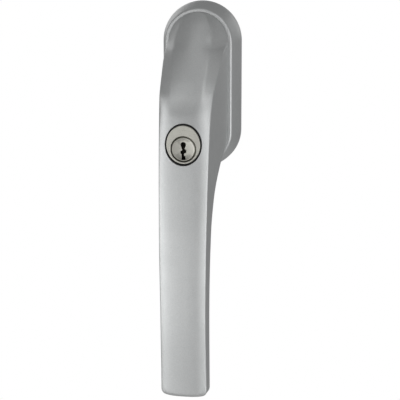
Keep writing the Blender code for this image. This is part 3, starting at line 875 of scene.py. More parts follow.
@dataclass
class Rosette(SubAssembly):
    """Everything that is fixed to the sash: cover, plate, bearing, springs, screws and support bushes."""

    arc_z: float = 19.27 * MM
    screw_z: float = 21.5 * MM
    cover_wall: float = 1.2 * MM
    cover_profile: tuple[Point, ...] = (
        (0, 17.0), (3, 16.95), (5, 16.6), (7, 16.05), (9.4, 15.3), (11, 14.75), (11.6, 14.45), (12, 14.0))
    flange: Point = (15.3 * MM, 4.0 * MM)
    plate: Point = (13.2 * MM, 10.4 * MM)
    recess: Point = (10.6 * MM, 2.8 * MM)
    pocket: Point = (11.4 * MM, 6.0 * MM)
    bush_hole: float = 8.9 * MM
    counterbore: float = 4.9 * MM
    screw_reach: float = 40.0 * MM
    thread_pitch: float = 0.8 * MM

    def cover_radius(self, depth: float) -> float:
        """Half width of the cover's outside at a depth."""
        return curve_through(self.cover_profile, depth)

    def cover_rings(self, depths: Sequence[float], inwards: float) -> bmesh.types.BMesh:
        """Loft the cover's outline, moved inwards, through some depths.

        Args:
            depths: where the rings lie.
            inwards: how far each one is moved in.

        Returns:
            The closed loft.
        """
        return loft([[Vector((x, -d, z))
                      for x, z in racetrack(self.cover_radius(max(d, 0)) - inwards, self.arc_z)]
                     for d in depths])

    def build_cover(self) -> None:
        """Make the cover: a thin shell with a rounded front edge, a neck hole and two bolt holes."""
        outside = [0, 0.15, 0.6, 1.5, 3, 4, 5, 6, 7, 8, 9, 10, 10.5, 11, 11.3, 11.55, 11.75, 11.88,
                   11.96, 12]
        cover = self.cover_rings([d * MM for d in outside], 0.0)
        low_edge = [v for v in cover.verts if v.co.y > -0.01 * MM]
        bmesh.ops.scale(cover, vec=(0.993, 1, 0.996), verts=low_edge)
        inside = [-1, 0, 3, 5, 7, 9.4, 10.4, 10.7, 10.8]
        cover = combine(cover, self.cover_rings([d * MM for d in inside], self.cover_wall), Combine.CUT)
        cover = combine(cover, rod(8.8 * MM, 10 * MM, 13 * MM, steps=96), Combine.CUT)
        for side in (1, -1):
            hole = rod(4.7 * MM, 10 * MM, 13 * MM, (0, side * self.screw_z))
            cover = combine(cover, hole, Combine.CUT)
        self.add("rosette_cover_shell", cover, Body.ROSETTE, Slot.PAINT, "rosette_cover")

    def build_plate(self) -> None:
        """Make the die-cast plate, with its bearing, spring pockets and screw ways."""
        depth = self.plate[1]
        plate = slab(racetrack(self.flange[0], self.arc_z), 0, self.flange[1])
        soften(plate, 0.35 * MM)
        body = slab(racetrack(self.plate[0], self.arc_z), 1 * MM, depth)
        soften(body, 0.35 * MM, where=lambda e: all(v.co.y < -9 * MM for v in e.verts))
        plate = combine(plate, body, Combine.JOIN)
        under, over = -1 * MM, depth + 1 * MM
        bearing = turned(((0, under), (self.recess[0], under), self.recess,
                          (self.bush_hole, self.recess[1]), (self.bush_hole, self.pocket[1]), self.pocket,
                          (self.pocket[0], over), (0, over)))
        plate = combine(plate, bearing, Combine.CUT)
        way = ((0, under), (5.3 * MM, under), (5.3 * MM, 1.5 * MM), (2.8 * MM, 1.5 * MM),
               (2.8 * MM, 2.4 * MM), (self.counterbore, 4.5 * MM), (self.counterbore, over), (0, over))
        for side in (1, -1):
            plate = combine(plate, turned(way, side * self.screw_z, 64), Combine.CUT)
            heights = sorted((side * 9.0 * MM, side * 13.0 * MM))
            pocket = block((-9.3 * MM, -over, heights[0]), (9.3 * MM, -self.pocket[1] - MM, heights[1]))
            plate = combine(plate, pocket, Combine.CUT)
        self.add("base_plate_casting", plate, Body.ROSETTE, Slot.ZINC, "base_plate")

    def screw_sections(self, centre_z: float) -> list[list[Vector]]:
        """Rings down a fixing screw: countersunk head, neck, thread and point.

        Args:
            centre_z: height of the screw's axis.

        Returns:
            Rings of equal length, from the head to the point.
        """
        steps, crest, root = 28, 2.4 * MM, 1.95 * MM
        rings = []
        for radius, depth in ((4.2, 5.1), (4.5, 5.02), (4.6, 4.8), (2.5, 2.7), (2.3, 2.4), (2.3, -1.0)):
            rings.append([(radius * MM, depth * MM)] * steps)
        per_turn = 7
        thread_end = self.screw_reach - 1.2 * MM
        count = int((thread_end - 1.2 * MM) / self.thread_pitch * per_turn)
        for i in range(count):
            depth = -1.2 * MM - i * self.thread_pitch / per_turn
            taper = min(1.0, i / per_turn, (count - i) / per_turn)
            ring = []
            for k in range(steps):
                phase = (i / per_turn - k / steps) % 1.0
                ridge = max(0.0, 1 - abs(phase - 0.5) * 2.6)
                ring.append((root + (crest - root) * min(ridge * 1.25, 1.0) * taper, depth))
            rings.append(ring)
        rings += [[(1.9 * MM, -thread_end)] * steps, [(1.4 * MM, -self.screw_reach)] * steps]
        return [[Vector((r * math.cos(a), -depth, centre_z + r * math.sin(a)))
                 for (r, depth), a in zip(ring, arc_angles(steps))] for ring in rings]

    def build_screws(self) -> None:
        """Make the two fixing screws, each with a cross recess and a rolled thread."""
        for label, side in (("upper", 1), ("lower", -1)):
            z = side * self.screw_z
            screw = loft(self.screw_sections(z))
            for half_x, half_z in ((2.2 * MM, 0.45 * MM), (0.45 * MM, 2.2 * MM)):
                recess = block((-half_x, -6.1 * MM, z - half_z), (half_x, -3.3 * MM, z + half_z))
                bottom = [v for v in recess.verts if v.co.y > -4 * MM]
                bmesh.ops.translate(recess, vec=(0, 0, -z), verts=bottom)
                bmesh.ops.scale(recess, vec=(0.55, 1, 0.55), verts=bottom)
                bmesh.ops.translate(recess, vec=(0, 0, z), verts=bottom)
                screw = combine(screw, recess, Combine.CUT)
            self.add(f"fixing_screw_{label}_threaded", screw, Body.ROSETTE, Slot.STEEL,
                     f"fixing_screw_{label}", angle=28)

    def build_bushes(self) -> None:
        """Make the two support bushes and the neck's bearing bush."""
        for label, side in (("upper", 1), ("lower", -1)):
            bush = turned(((2.8 * MM, -3 * MM), (3.1 * MM, -3 * MM), (4.7 * MM, -3 * MM),
                           (5 * MM, -2.7 * MM), (5 * MM, 1.2 * MM), (2.8 * MM, 1.2 * MM)),
                          side * self.screw_z, 80)
            self.add(f"support_bush_{label}_turned", bush, Body.ROSETTE, Slot.ZINC, f"support_bush_{label}")
        low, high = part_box("bearing_bush")
        back, front, rim = -high.y, -low.y, high.x
        inner, outer, shoulder = 7.15 * MM, 8.75 * MM, self.pocket[1] + 0.3 * MM
        edge = 0.2 * MM
        profile = ((inner, back), (outer - edge, back), (outer, back + edge), (outer, shoulder),
                   (rim, shoulder), (rim, front - edge), (rim - edge, front), (inner, front))
        self.add("bearing_bush_moulded", turned(profile), Body.ROSETTE, Slot.ACETAL, "bearing_bush")

    def build_springs(self) -> None:
        """Make the two bowed leaf springs that press on the cam."""
        half_length, rise, thickness, steps = 8.8 * MM, 1.6 * MM, 0.5 * MM, 40
        for label, side in (("upper", 1), ("lower", -1)):
            near = []
            for i in range(steps + 1):
                x = half_length * (2 * i / steps - 1)
                bow = rise * (1 - math.cos(math.pi * x / half_length)) / 2
                near.append((x, side * (9.9 * MM + 0.3 * MM + bow)))
            far = [(x, z + side * thickness) for x, z in reversed(near)]
            leaf = slab(near + far, 7.4 * MM, 9.9 * MM)
            soften(leaf, 0.08 * MM, 1)
            self.add(f"detent_spring_{label}_leaf", leaf, Body.ROSETTE, Slot.SPRING,
                     f"detent_spring_{label}")

    def build(self) -> None:
        """Build every piece."""
        self.build_cover()
        self.build_plate()
        self.build_screws()
        self.build_bushes()
        self.build_springs()


@dataclass
class Lever(SubAssembly):
    """The lever casting, from the dome over the rosette to the end of the grip."""

    arc_z: float = 19.27 * MM
    back: float = 12.3 * MM
    base_r: float = 12.95 * MM
    grip_end: float = -128.6 * MM
    end_radius: float = 3.2 * MM
    rear_rounding: float = 2.6 * MM
    crease_fillet: float = 0.55 * MM
    lock_z: float = -19.6 * MM
    plug_z: float = -21.5 * MM
    crease_depth: tuple[Point, ...] = (
        (19.3, 12.8), (17, 19.6), (13, 25.4), (8.5, 30.2), (4, 34.9), (-0.5, 38.6), (-5, 40.5), (-15, 42.9),
        (-25, 44.4), (-43, 46.1), (-68, 47.3), (-94, 46.9), (-121, 45.0), (-129, 44.5))
    centre_depth: tuple[Point, ...] = (
        (32.2, 12.9), (28, 18.4), (22, 24.6), (16, 29.9), (10, 34.8), (4, 39.2), (-2, 42.6), (-8, 44.4),
        (-20, 45.6), (-43, 47.3), (-68, 48.7), (-94, 48.3), (-129, 46.2))
    crease_half: tuple[Point, ...] = (
        (19.3, 12.9), (13, 12.5), (4, 11.75), (-5, 11.15), (-15, 10.8), (-30, 10.5), (-43, 10.3),
        (-68, 10.0), (-94, 9.7), (-112, 9.75), (-129, 9.9))
    rear_half: tuple[Point, ...] = (
        (-19, 12.95), (-32, 11.9), (-43, 10.9), (-60, 10.4), (-94, 10.0), (-129, 10.15))
    underside: tuple[Point, ...] = (
        (0, 0), (1.2, 4.6), (2.5, 8.8), (4, 12.6), (6.5, 16.0), (9.2, 18.3), (12, 19.8), (15, 20.8),
        (21, 22.1), (28, 23.1), (41, 24.3), (55, 24.6), (97, 24.2))
    facet_start: float = 0.62

    def half_widths(self, z: float) -> Point:
        """Half width of the front crease and of the rear edge at a height.

        Args:
            z: the height.

        Returns:
            Both half widths, front first.
        """
        if z >= self.arc_z:
            width = math.sqrt(max(self.base_r ** 2 - (z - self.arc_z) ** 2, 0.0))
            return width, width
        front, rear = curve_through(self.crease_half, z), curve_through(self.rear_half, z)
        tip = z - (self.grip_end + self.end_radius)
        shrink = self.end_radius - math.sqrt(max(self.end_radius ** 2 - tip ** 2, 0.0)) if tip < 0 else 0.0
        return front - shrink, rear - shrink

    def end_rounding(self, z: float) -> float:
        """How far the front and the rear draw in over the last stretch of the grip."""
        reach = 1.6 * MM
        return 1.4 * MM * max(0.0, (self.grip_end + reach - z) / reach) ** 2

    def bow(self, z: float, across: float) -> float:
        """Share of the fall from the middle to the crease, at a share of the half width.

        Args:
            z: the height.
            across: 0 in the middle, 1 on the crease.

        Returns:
            0 in the middle, 1 on the crease: a soft crown down the grip, and
            two flatter faces with a facet beside each crease up the neck.
        """
        crown = 0.35 * across ** 2 + 0.65 * across ** 5
        inner = 0.22 * (min(across, self.facet_start) / self.facet_start) ** 2
        facet = 0.78 * max(0.0, across - self.facet_start) / (1 - self.facet_start)
        neck = smooth_step(-6 * MM, 3 * MM, z)
        return crown + (inner + facet - crown) * neck

    def front_depth(self, z: float, across: float) -> float:
        """Depth of the front surface at a height and a share of the half width."""
        crease, centre = curve_through(self.crease_depth, z), curve_through(self.centre_depth, z)
        return centre - (centre - crease) * self.bow(z, across) - self.end_rounding(z)

    def rear_depth(self, z: float, x: float, half: float) -> float:
        """Depth of the rear surface: the flat base, then the underside that flares out of its end arc.

        Args:
            z: the height.
            x: the sideways position.
            half: half width of the rear there.

        Returns:
            The depth.
        """
        outside = math.hypot(x, z + self.arc_z) - self.base_r if z < -self.arc_z else 0.0
        depth = self.back + curve_through(self.underside, max(outside, 0.0))
        radius = self.rear_rounding * min(1.0, max(0.0, (-z - 40 * MM) / (15 * MM)))
        beyond = abs(x) - (half - radius)
        if radius > 0 and beyond > 0:
            depth += radius - math.sqrt(max(radius ** 2 - beyond ** 2, 0.0))
        return depth + self.end_rounding(z)

    def rear_positions(self, z: float, half: float, inner: int = 5, outer: int = 14) -> list[float]:
        """Sideways positions across the rear, with points on the base's end arc.

        Args:
            z: the height.
            half: half width of the rear there.
            inner: steps from the middle to the arc.
            outer: steps from the arc to the side.

        Returns:
            Positions from left to right, closer together at the sides.
        """
        margin = 0.3 * MM
        rim = math.sqrt(max(self.base_r ** 2 - (z + self.arc_z) ** 2, 0.0)) if z < -self.arc_z else half
        rim = min(max(rim, margin), half - margin) if half > 2 * margin else half / 2
        right = [rim + (half - rim) * (1 - math.cos(math.pi * i / outer)) / 2 for i in range(1, outer + 1)]
        return [-x for x in reversed(right)] + [rim * i / inner for i in range(-inner, inner + 1)] + right

    def section(self, z: float, front_steps: int = 36, side_steps: int = 5,
                fillet_steps: int = 4) -> list[Vector]:
        """Ring round the lever at a height.

        Args:
            z: the height.
            front_steps: steps across the front.
            side_steps: steps down each side.
            fillet_steps: steps round each front crease.

        Returns:
            Points across the front from right to left, down the left side,
            across the rear, and up the right side.
        """
        front_half, rear_half = self.half_widths(z)
        crease = self.front_depth(z, 1.0)
        foot = self.rear_depth(z, rear_half, rear_half)
        fillet = min(self.crease_fillet, 0.4 * (crease - foot), 0.3 * front_half)
        inner = 1 - fillet / front_half
        across = [inner * (1 - 2 * i / front_steps) for i in range(front_steps + 1)]
        front = [Point3(front_half * t, self.front_depth(z, abs(t))) for t in across]
        corner = Point3(front_half, crease)
        share = fillet / (crease - foot)
        below = Point3(front_half + (rear_half - front_half) * share, crease - fillet)
        arc = [rounded(front[0], corner, below, i / fillet_steps) for i in range(1, fillet_steps + 1)]
        ground = Point3(rear_half, foot)
        side = [Point3(below.x + (ground.x - below.x) * i / side_steps,
                       below.depth + (ground.depth - below.depth) * i / side_steps)
                for i in range(1, side_steps)]
        right = arc + side
        left = [Point3(-p.x, p.depth) for p in right]
        rear = [Point3(x, self.rear_depth(z, x, rear_half)) for x in self.rear_positions(z, rear_half)]
        ring = front + left + rear + right[::-1]
        return [Vector((p.x, -p.depth, z)) for p in ring]

    def heights(self) -> list[float]:
        """Heights of the sections, from the top of the dome to the end of the grip.

        Returns:
            The heights, from the top down.
        """
        arc = [self.arc_z + self.base_r * math.sin(math.radians(89 - 3 * i)) for i in range(29)]
        neck_top, neck_end, flare_end = 18.6 * MM, -self.arc_z, -46.0 * MM
        grip_end = self.grip_end + self.end_radius
        neck = spaced(neck_top, neck_end, 46)
        flare = spaced(neck_end, flare_end, 44)[1:]
        grip = spaced(flare_end, grip_end, 32)[1:]
        end = [grip_end - self.end_radius * math.sin(math.radians(a)) for a in range(8, 88, 8)]
        return arc + neck + flare + grip + end

    def build_neck(self, lever: bmesh.types.BMesh) -> bmesh.types.BMesh:
        """Join the turned neck on, with its ring groove, two flats and spindle socket.

        Args:
            lever: the casting so far.

        Returns:
            The casting with its neck.
        """
        step, end, rear, front = 7.25 * MM, 0.4 * MM, 7.0 * MM, 8.2 * MM
        neck = turned(((0, end), (rear - 0.3 * MM, end), (rear, end + 0.3 * MM), (rear, 0.9 * MM),
                       (6.2 * MM, 0.9 * MM), (6.2 * MM, 1.9 * MM), (rear, 1.9 * MM), (rear, step),
                       (front, step), (front, 14 * MM), (0, 14 * MM)))
        lever = combine(lever, neck, Combine.JOIN)
        for side in (1, -1):
            near, far = sorted((side * 7.4 * MM, side * 9 * MM))
            flat = block((near, -10.4 * MM, -9 * MM), (far, -step + 0.1 * MM, 9 * MM))
            lever = combine(lever, flat, Combine.CUT)
        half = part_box("spindle")[1].x + 0.3 * MM
        lever = combine(lever, block((-half, -9.5 * MM, -half), (half, MM, half)), Combine.CUT)
        return combine(lever, cross_rod(1.5 * MM, 8.5 * MM, 4.5 * MM), Combine.CUT)

    def build_lock_space(self, lever: bmesh.types.BMesh) -> bmesh.types.BMesh:
        """Cut the barrel's oval bore, the bolt's bore and groove, and the retaining screw's hole.

        Args:
            lever: the casting so far.

        Returns:
            The casting with those spaces.
        """
        floor = 27.8 * MM
        lever = combine(lever, slab(ellipse(7.85 * MM, 8.8 * MM, self.lock_z), floor, 60 * MM), Combine.CUT)
        chamber = turned(((0, 11 * MM), (4.5 * MM, 11 * MM), (4.5 * MM, 25.6 * MM), (6.2 * MM, 25.6 * MM),
                          (6.2 * MM, 30 * MM), (0, 30 * MM)), self.plug_z, 64)
        lever = combine(lever, chamber, Combine.CUT)
        groove = block((-1.1 * MM, -26.5 * MM, self.plug_z), (1.1 * MM, -14.6 * MM, self.plug_z + 5.8 * MM))
        lever = combine(lever, groove, Combine.CUT)
        return combine(lever, rod(1.6 * MM, 11 * MM, 31 * MM, (0, -13.2 * MM), 40), Combine.CUT)

    def build(self) -> None:
        """Build the casting."""
        lever = loft([self.section(z) for z in self.heights()])
        lever = self.build_neck(lever)
        lever = self.build_lock_space(lever)
        self.add("lever_casting", lever, Body.HANDLE, Slot.PAINT, "lever", angle=40)


@dataclass
class Drive(SubAssembly):
    """What turns with the lever inside the rosette: spindle, pin, cam, washer and retaining ring."""

    neck_flat: float = 7.4 * MM
    neck_front_r: float = 8.2 * MM
    pin_depth: float = 4.5 * MM

    def build_spindle(self) -> None:
        """Make the drawn square spindle, with softened edges, a bevelled tip and its cross hole."""
        low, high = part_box("spindle")
        bar = block(low, high)
        soften(bar, 0.8 * MM, 1, where=lambda e: all(v.co.y > high.y / 2 for v in e.verts))
        soften(bar, 0.3 * MM, 3, angle=50)
        bar = combine(bar, cross_rod(1.5 * MM, 6 * MM, self.pin_depth, 48), Combine.CUT)
        self.add("spindle_bar", bar, Body.HANDLE, Slot.STEEL, "spindle")
        low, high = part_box("spindle_pin")
        pin = cross_rod((high.z - low.z) / 2, high.x, self.pin_depth, 40)
        soften(pin, 0.25 * MM, 2, angle=60)
        self.add("spindle_cross_pin", pin, Body.HANDLE, Slot.SPRING, "spindle_pin")

    def build_cam(self) -> None:
        """Make the square cam that the leaf springs press on."""
        flat, corner_r, back, front = 9.9 * MM, 11.1 * MM, 7.4 * MM, 10.1 * MM
        corner = math.acos(flat / corner_r)
        outline = []
        for quarter in range(4):
            start = quarter * math.pi / 2 + corner
            sweep = math.pi / 2 - 2 * corner
            outline += [(corner_r * math.cos(a), corner_r * math.sin(a))
                        for a in spaced(start, start + sweep, 16)]
        cam = slab(outline, back, front)
        soften(cam, 0.2 * MM, 2, angle=60)
        radius, half = self.neck_front_r + 0.25 * MM, self.neck_flat + 0.25 * MM
        reach = math.acos(half / radius)
        hole = [(radius * math.cos(a), radius * math.sin(a)) for a in spaced(reach, math.pi - reach, 40)]
        hole += [(-x, -z) for x, z in hole]
        cam = combine(cam, slab(hole, back - MM, front + MM), Combine.CUT)
        self.add("detent_cam_plate", cam, Body.HANDLE, Slot.STEEL, "detent_cam")

    def build_rings(self) -> None:
        """Make the thrust washer and the open retaining ring behind it."""
        washer = turned(((7.3 * MM, 2 * MM), (10.2 * MM, 2 * MM), (10.2 * MM, 2.5 * MM),
                         (7.3 * MM, 2.5 * MM)))
        soften(washer, 0.08 * MM, 1, angle=60)
        self.add("thrust_washer_pressed", washer, Body.HANDLE, Slot.STEEL, "thrust_washer")
        ring = slab(open_ring(6.5 * MM, 9.0 * MM, 0.0, math.radians(36)), 1.1 * MM, 1.7 * MM)
        soften(ring, 0.12 * MM, 2, angle=60)
        self.add("retaining_ring_sprung", ring, Body.HANDLE, Slot.SPRING, "retaining_ring")

    def build(self) -> None:
        """Build every piece."""
        self.build_spindle()
        self.build_cam()
        self.build_rings()


def open_ring(inner: float, outer: float, centre_z: float, opening: float, steps: int = 72) -> list[Point]:
    """Outline of a flat ring with a gap at the bottom, in (x, z).

    Args:
        inner: radius of the inside.
        outer: radius of the outside.
        centre_z: height of its centre.
        opening: angle of the gap.
        steps: segments along each arc.

    Returns:
        The outline, in order.
    """
    turn = spaced(opening / 2 - math.pi / 2, 1.5 * math.pi - opening / 2, steps)
    rim = [(outer * math.cos(a), centre_z + outer * math.sin(a)) for a in turn]
    return rim + [(inner * math.cos(a), centre_z + inner * math.sin(a)) for a in reversed(turn)]


@dataclass
class Lock(SubAssembly):
    """The cylinder lock in the lever: surround, barrel, plug, pins, clip, cam pin and locking bolt."""

    centre_z: float = -19.6 * MM
    plug_z: float = -21.5 * MM
    bore_half: Point = (7.85 * MM, 8.8 * MM)
    back: float = 28.0 * MM
    front: float = 45.4 * MM
    surround_wall: float = 0.6 * MM
    plug_r: float = 5.2 * MM
    pin_r: float = 1.0 * MM
    pin_count: int = 4
    pin_pitch: float = 3.5 * MM
    first_pin: float = 42.0 * MM
    cam_pin_depth: float = 18.5 * MM
    bolt_nose: float = 12.7 * MM
    bolt_throw: float = 5.0 * MM
    key_lengths: tuple[float, ...] = (2.3 * MM, 2.9 * MM, 2.0 * MM, 2.6 * MM)

    def barrel_halves(self) -> Point:
        """Half width and half height of the barrel."""
        wall = self.surround_wall + 0.1 * MM
        return self.bore_half[0] - wall, self.bore_half[1] - wall

    def pin_depths(self) -> list[float]:
        """Depths of the pins, from the front."""
        return [self.first_pin - i * self.pin_pitch for i in range(self.pin_count)]

    def upright_rod(self, radius: float, low: float, high: float, depth: float, tip: float = 0.0,
                    steps: int = 32) -> bmesh.types.BMesh:
        """Make a rod along Z at a depth.

        Args:
            radius: its radius.
            low: height of its lower end.
            high: height of its upper end.
            depth: where its axis lies.
            tip: length of a pointed lower end.
            steps: segments round it.

        Returns:
            The closed rod.
        """
        bm = bmesh.new()
        bmesh.ops.create_cone(bm, segments=steps, radius1=radius, radius2=radius, depth=high - low - tip,
                              cap_ends=True)
        if tip:
            bottom = [f for f in bm.faces if f.normal.z < -0.5]
            made = bmesh.ops.extrude_face_region(bm, geom=bottom)
            bmesh.ops.delete(bm, geom=bottom, context="FACES_ONLY")
            end = [v for v in made["geom"] if isinstance(v, bmesh.types.BMVert)]
            bmesh.ops.translate(bm, vec=(0, 0, -tip), verts=end)
            bmesh.ops.scale(bm, vec=(0.35, 0.35, 1), verts=end)
        bmesh.ops.translate(bm, vec=(0, -depth, (low + tip + high) / 2), verts=bm.verts)
        return bm

    def build_surround(self) -> None:
        """Make the thin black ring between the barrel and the lever."""
        half_x, half_z = self.bore_half
        gap, front = 0.1 * MM, self.front - 0.2 * MM
        ring = slab(ellipse(half_x - gap, half_z - gap, self.centre_z, 128), self.back + gap, front)
        wall = self.surround_wall
        inside = slab(ellipse(half_x - wall, half_z - wall, self.centre_z, 128), 20 * MM, 50 * MM)
        ring = combine(ring, inside, Combine.CUT)
        soften(ring, 0.12 * MM, 2, angle=60, where=lambda e: all(v.co.y < -40 * MM for v in e.verts))
        self.add("lock_surround_ring", ring, Body.HANDLE, Slot.BLACK, "lock_surround")

    def build_barrel(self) -> None:
        """Make the oval barrel, with its plug bore, pin chambers and cover slot."""
        half_x, half_z = self.barrel_halves()
        barrel = slab(ellipse(half_x, half_z, self.centre_z, 128), self.back, self.front)
        soften(barrel, 0.28 * MM, 3, angle=60)
        barrel = combine(barrel, self.barrel_bore(), Combine.CUT)
        top = self.centre_z + half_z
        for depth in self.pin_depths():
            chamber = self.upright_rod(self.pin_r + 0.25 * MM, self.plug_z + 3 * MM, top + MM, depth)
            barrel = combine(barrel, chamber, Combine.CUT)
        slot = block((-1.9 * MM, -self.first_pin - 2 * MM, top - 0.95 * MM),
                     (1.9 * MM, -self.back + MM, top + MM))
        barrel = combine(barrel, slot, Combine.CUT)
        barrel = combine(barrel, rod(1.6 * MM, 20 * MM, 31 * MM, (0, -13.2 * MM), 40), Combine.CUT)
        self.add("lock_barrel_body", barrel, Body.HANDLE, Slot.NICKEL, "lock_barrel")

    def barrel_bore(self) -> bmesh.types.BMesh:
        """Cutter for the plug's bore, with a small countersink at the front.

        Returns:
            The closed cutter.
        """
        radius, flare = self.plug_r + 0.2 * MM, 0.2 * MM
        return turned(((0, 20 * MM), (radius, 20 * MM), (radius, self.front - flare),
                       (radius + 2 * flare, self.front + flare), (0, self.front + flare)), self.plug_z, 96)

    def build_small_pieces(self) -> None:
        """Make the chamber cover, driver pins, pin springs and retaining screw."""
        low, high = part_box("chamber_cover")
        cover = block(low, high)
        soften(cover, 0.08 * MM, 1)
        self.add("chamber_cover_strip", cover, Body.HANDLE, Slot.BRASS, "chamber_cover")
        foot = self.plug_z + self.plug_r + 0.25 * MM
        spring_top = self.centre_z + self.barrel_halves()[1] - 0.95 * MM
        for number, depth in enumerate(self.pin_depths(), 1):
            driver = self.upright_rod(self.pin_r, foot, foot + 1.5 * MM, depth)
            soften(driver, 0.15 * MM, 2, angle=60)
            self.add(f"driver_pin_{number}_turned", driver, Body.HANDLE, Slot.BRASS,
                     f"driver_pin_{number}")
            coil = self.coil(foot + 1.75 * MM, spring_top, depth)
            self.add(f"pin_spring_{number}_coil", coil, Body.HANDLE, Slot.SPRING, f"pin_spring_{number}")
        screw = rod(1.25 * MM, 19 * MM, 29.8 * MM, (0, -13.2 * MM), 48)
        soften(screw, 0.2 * MM, 2, angle=60)
        hexagon = [(0.7 * MM * math.cos(a), -13.2 * MM + 0.7 * MM * math.sin(a)) for a in arc_angles(6)]
        screw = combine(screw, slab(hexagon, 18 * MM, 21 * MM), Combine.CUT)
        self.add("barrel_screw_headless", screw, Body.HANDLE, Slot.STEEL, "barrel_retaining_screw")

    def coil(self, low: float, high: float, depth: float) -> bmesh.types.BMesh:
        """Sweep round wire along a helix between two heights.

        Args:
            low: height of the coil's lower end.
            high: height of its upper end.
            depth: where its axis lies.

        Returns:
            The closed wire.
        """
        wire, radius, turns, steps, sides = 0.14 * MM, 0.75 * MM, 3, 28, 8
        sections = []
        for i in range(turns * steps + 1):
            angle = math.tau * i / steps
            height = low + wire + (high - low - 2 * wire) * i / (turns * steps)
            outward = Vector((math.cos(angle), math.sin(angle), 0))
            centre = outward * radius + Vector((0, -depth, height))
            sections.append([centre + wire * (outward * math.cos(a) + Vector((0, 0, math.sin(a))))
                             for a in arc_angles(sides)])
        return loft(sections)

    def keyway(self) -> list[Point]:
        """Warded slot with a round head: up the right side, round the head and down the left, in (x, z).

        Returns:
            The outline, in order.
        """
        right = ((0.95, -4.5), (0.95, -2.9), (0.35, -2.6), (0.35, -1.7), (1.25, -1.4), (1.25, -0.1),
                 (0.55, 0.2))
        left = ((-0.5, 0.0), (-0.5, -0.4), (-1.15, -0.7), (-1.15, -1.8), (-0.75, -2.1), (-0.75, -4.5))
        radius, centre, opening = 1.15, 1.95, math.radians(60)
        head = [(radius * math.cos(a), centre + radius * math.sin(a))
                for a in spaced(opening - math.pi / 2, 1.5 * math.pi - opening, 28)]
        return [(x * MM, self.plug_z + z * MM) for x, z in (*right, *head, *left)]

    def build_plug(self) -> None:
        """Make the plug, with its chamfered face, keyway, pin bores and tail."""
        front, chamfer = self.front - 0.1 * MM, 0.5 * MM
        body, groove, tail, tail_end = 3.9 * MM, 3.3 * MM, 2.5 * MM, 17.6 * MM
        profile = ((0, tail_end), (tail - 0.3 * MM, tail_end), (tail, tail_end + 0.3 * MM),
                   (tail, 26.2 * MM), (body, 26.2 * MM), (body, 26.8 * MM), (groove, 26.8 * MM),
                   (groove, 27.8 * MM), (self.plug_r, 27.8 * MM), (self.plug_r, front - chamfer),
                   (self.plug_r - chamfer, front), (self.plug_r - chamfer - 0.25 * MM, front),
                   (self.plug_r - chamfer - 0.45 * MM, front - 0.12 * MM),
                   (0, front - 0.12 * MM))
        plug = turned(profile, self.plug_z, 112)
        plug = combine(plug, slab(self.keyway(), 29.5 * MM, 50 * MM), Combine.CUT)
        for depth in self.pin_depths():
            bore = self.upright_rod(self.pin_r + 0.25 * MM, self.plug_z + 1.2 * MM,
                                    self.plug_z + 7 * MM, depth)
            plug = combine(plug, bore, Combine.CUT)
        hole = cross_rod(0.8 * MM, 2 * MM, self.cam_pin_depth)
        bmesh.ops.translate(hole, vec=(2 * MM, 0, self.plug_z), verts=hole.verts)
        bmesh.ops.scale(hole, vec=(2, 1, 1), verts=hole.verts)
        bmesh.ops.translate(hole, vec=(-4 * MM, 0, 0), verts=hole.verts)
        plug = combine(plug, hole, Combine.CUT)
        self.add("lock_plug_body", plug, Body.PLUG, Slot.NICKEL, "lock_plug")

    def build_plug_pieces(self) -> None:
        """Make the key pins, the clip behind the barrel and the cam pin in the plug's tail."""
        top = self.plug_z + self.plug_r - 0.1 * MM
        for number, (depth, length) in enumerate(zip(self.pin_depths(), self.key_lengths), 1):
            pin = self.upright_rod(self.pin_r, top - length, top, depth, tip=0.6 * MM)
            self.add(f"key_pin_{number}_turned", pin, Body.PLUG, Slot.BRASS, f"key_pin_{number}")
        clip = slab(open_ring(3.5 * MM, 5.7 * MM, self.plug_z, math.radians(60)), 26.95 * MM, 27.6 * MM)
        soften(clip, 0.1 * MM, 2, angle=60)
        self.add("plug_clip_sprung", clip, Body.PLUG, Slot.SPRING, "plug_clip")
        low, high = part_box("cam_pin")
        radius, half = (high.z - low.z) / 2, (high.x - low.x) / 2
        pin = cross_rod(radius, half, self.cam_pin_depth)
        bmesh.ops.translate(pin, vec=((low.x + high.x) / 2, 0, self.plug_z), verts=pin.verts)
        soften(pin, 0.12 * MM, 2, angle=60)
        self.add("cam_pin_ground", pin, Body.PLUG, Slot.STEEL, "cam_pin")

    def cam_slot(self) -> bmesh.types.BMesh:
        """Cutter along the cam pin's path through the bolt, which is a helix.

        Returns:
            The closed cutter.
        """
        half, steps, run_on = 0.95 * MM, 72, math.radians(18)
        sections = []
        for angle in spaced(-run_on, math.pi + run_on, steps):
            depth = self.cam_pin_depth + self.bolt_throw * min(max(angle / math.pi, 0.0), 1.0)
            outward = Vector((math.cos(angle), 0, -math.sin(angle)))
            corners = ((2.2 * MM, -half), (5.0 * MM, -half), (5.0 * MM, half), (2.2 * MM, half))
            sections.append([outward * r + Vector((0, -depth - shift, self.plug_z))
                             for r, shift in corners])
        return loft(sections)

    def build_bolt(self) -> None:
        """Make the locking bolt: a cup round the plug's tail, with its rib and helical slot."""
        radius, inner, nose = 4.2 * MM, 2.9 * MM, self.bolt_nose
        end, floor = nose + 12.3 * MM, nose + 4.5 * MM
        profile = ((0, nose), (radius - 0.6 * MM, nose), (radius - 0.25 * MM, nose + 0.12 * MM),
                   (radius, nose + 0.6 * MM), (radius, end), (inner, end), (inner, floor), (0, floor))
        bolt = turned(profile, self.plug_z)
        rib = block((-0.8 * MM, -end, self.plug_z + 3.6 * MM),
                    (0.8 * MM, -end + 4.6 * MM, self.plug_z + 5.3 * MM))
        bolt = combine(bolt, rib, Combine.JOIN)
        bolt = combine(bolt, self.cam_slot(), Combine.CUT)
        self.add("locking_bolt_turned", bolt, Body.BOLT, Slot.STEEL, "locking_bolt")

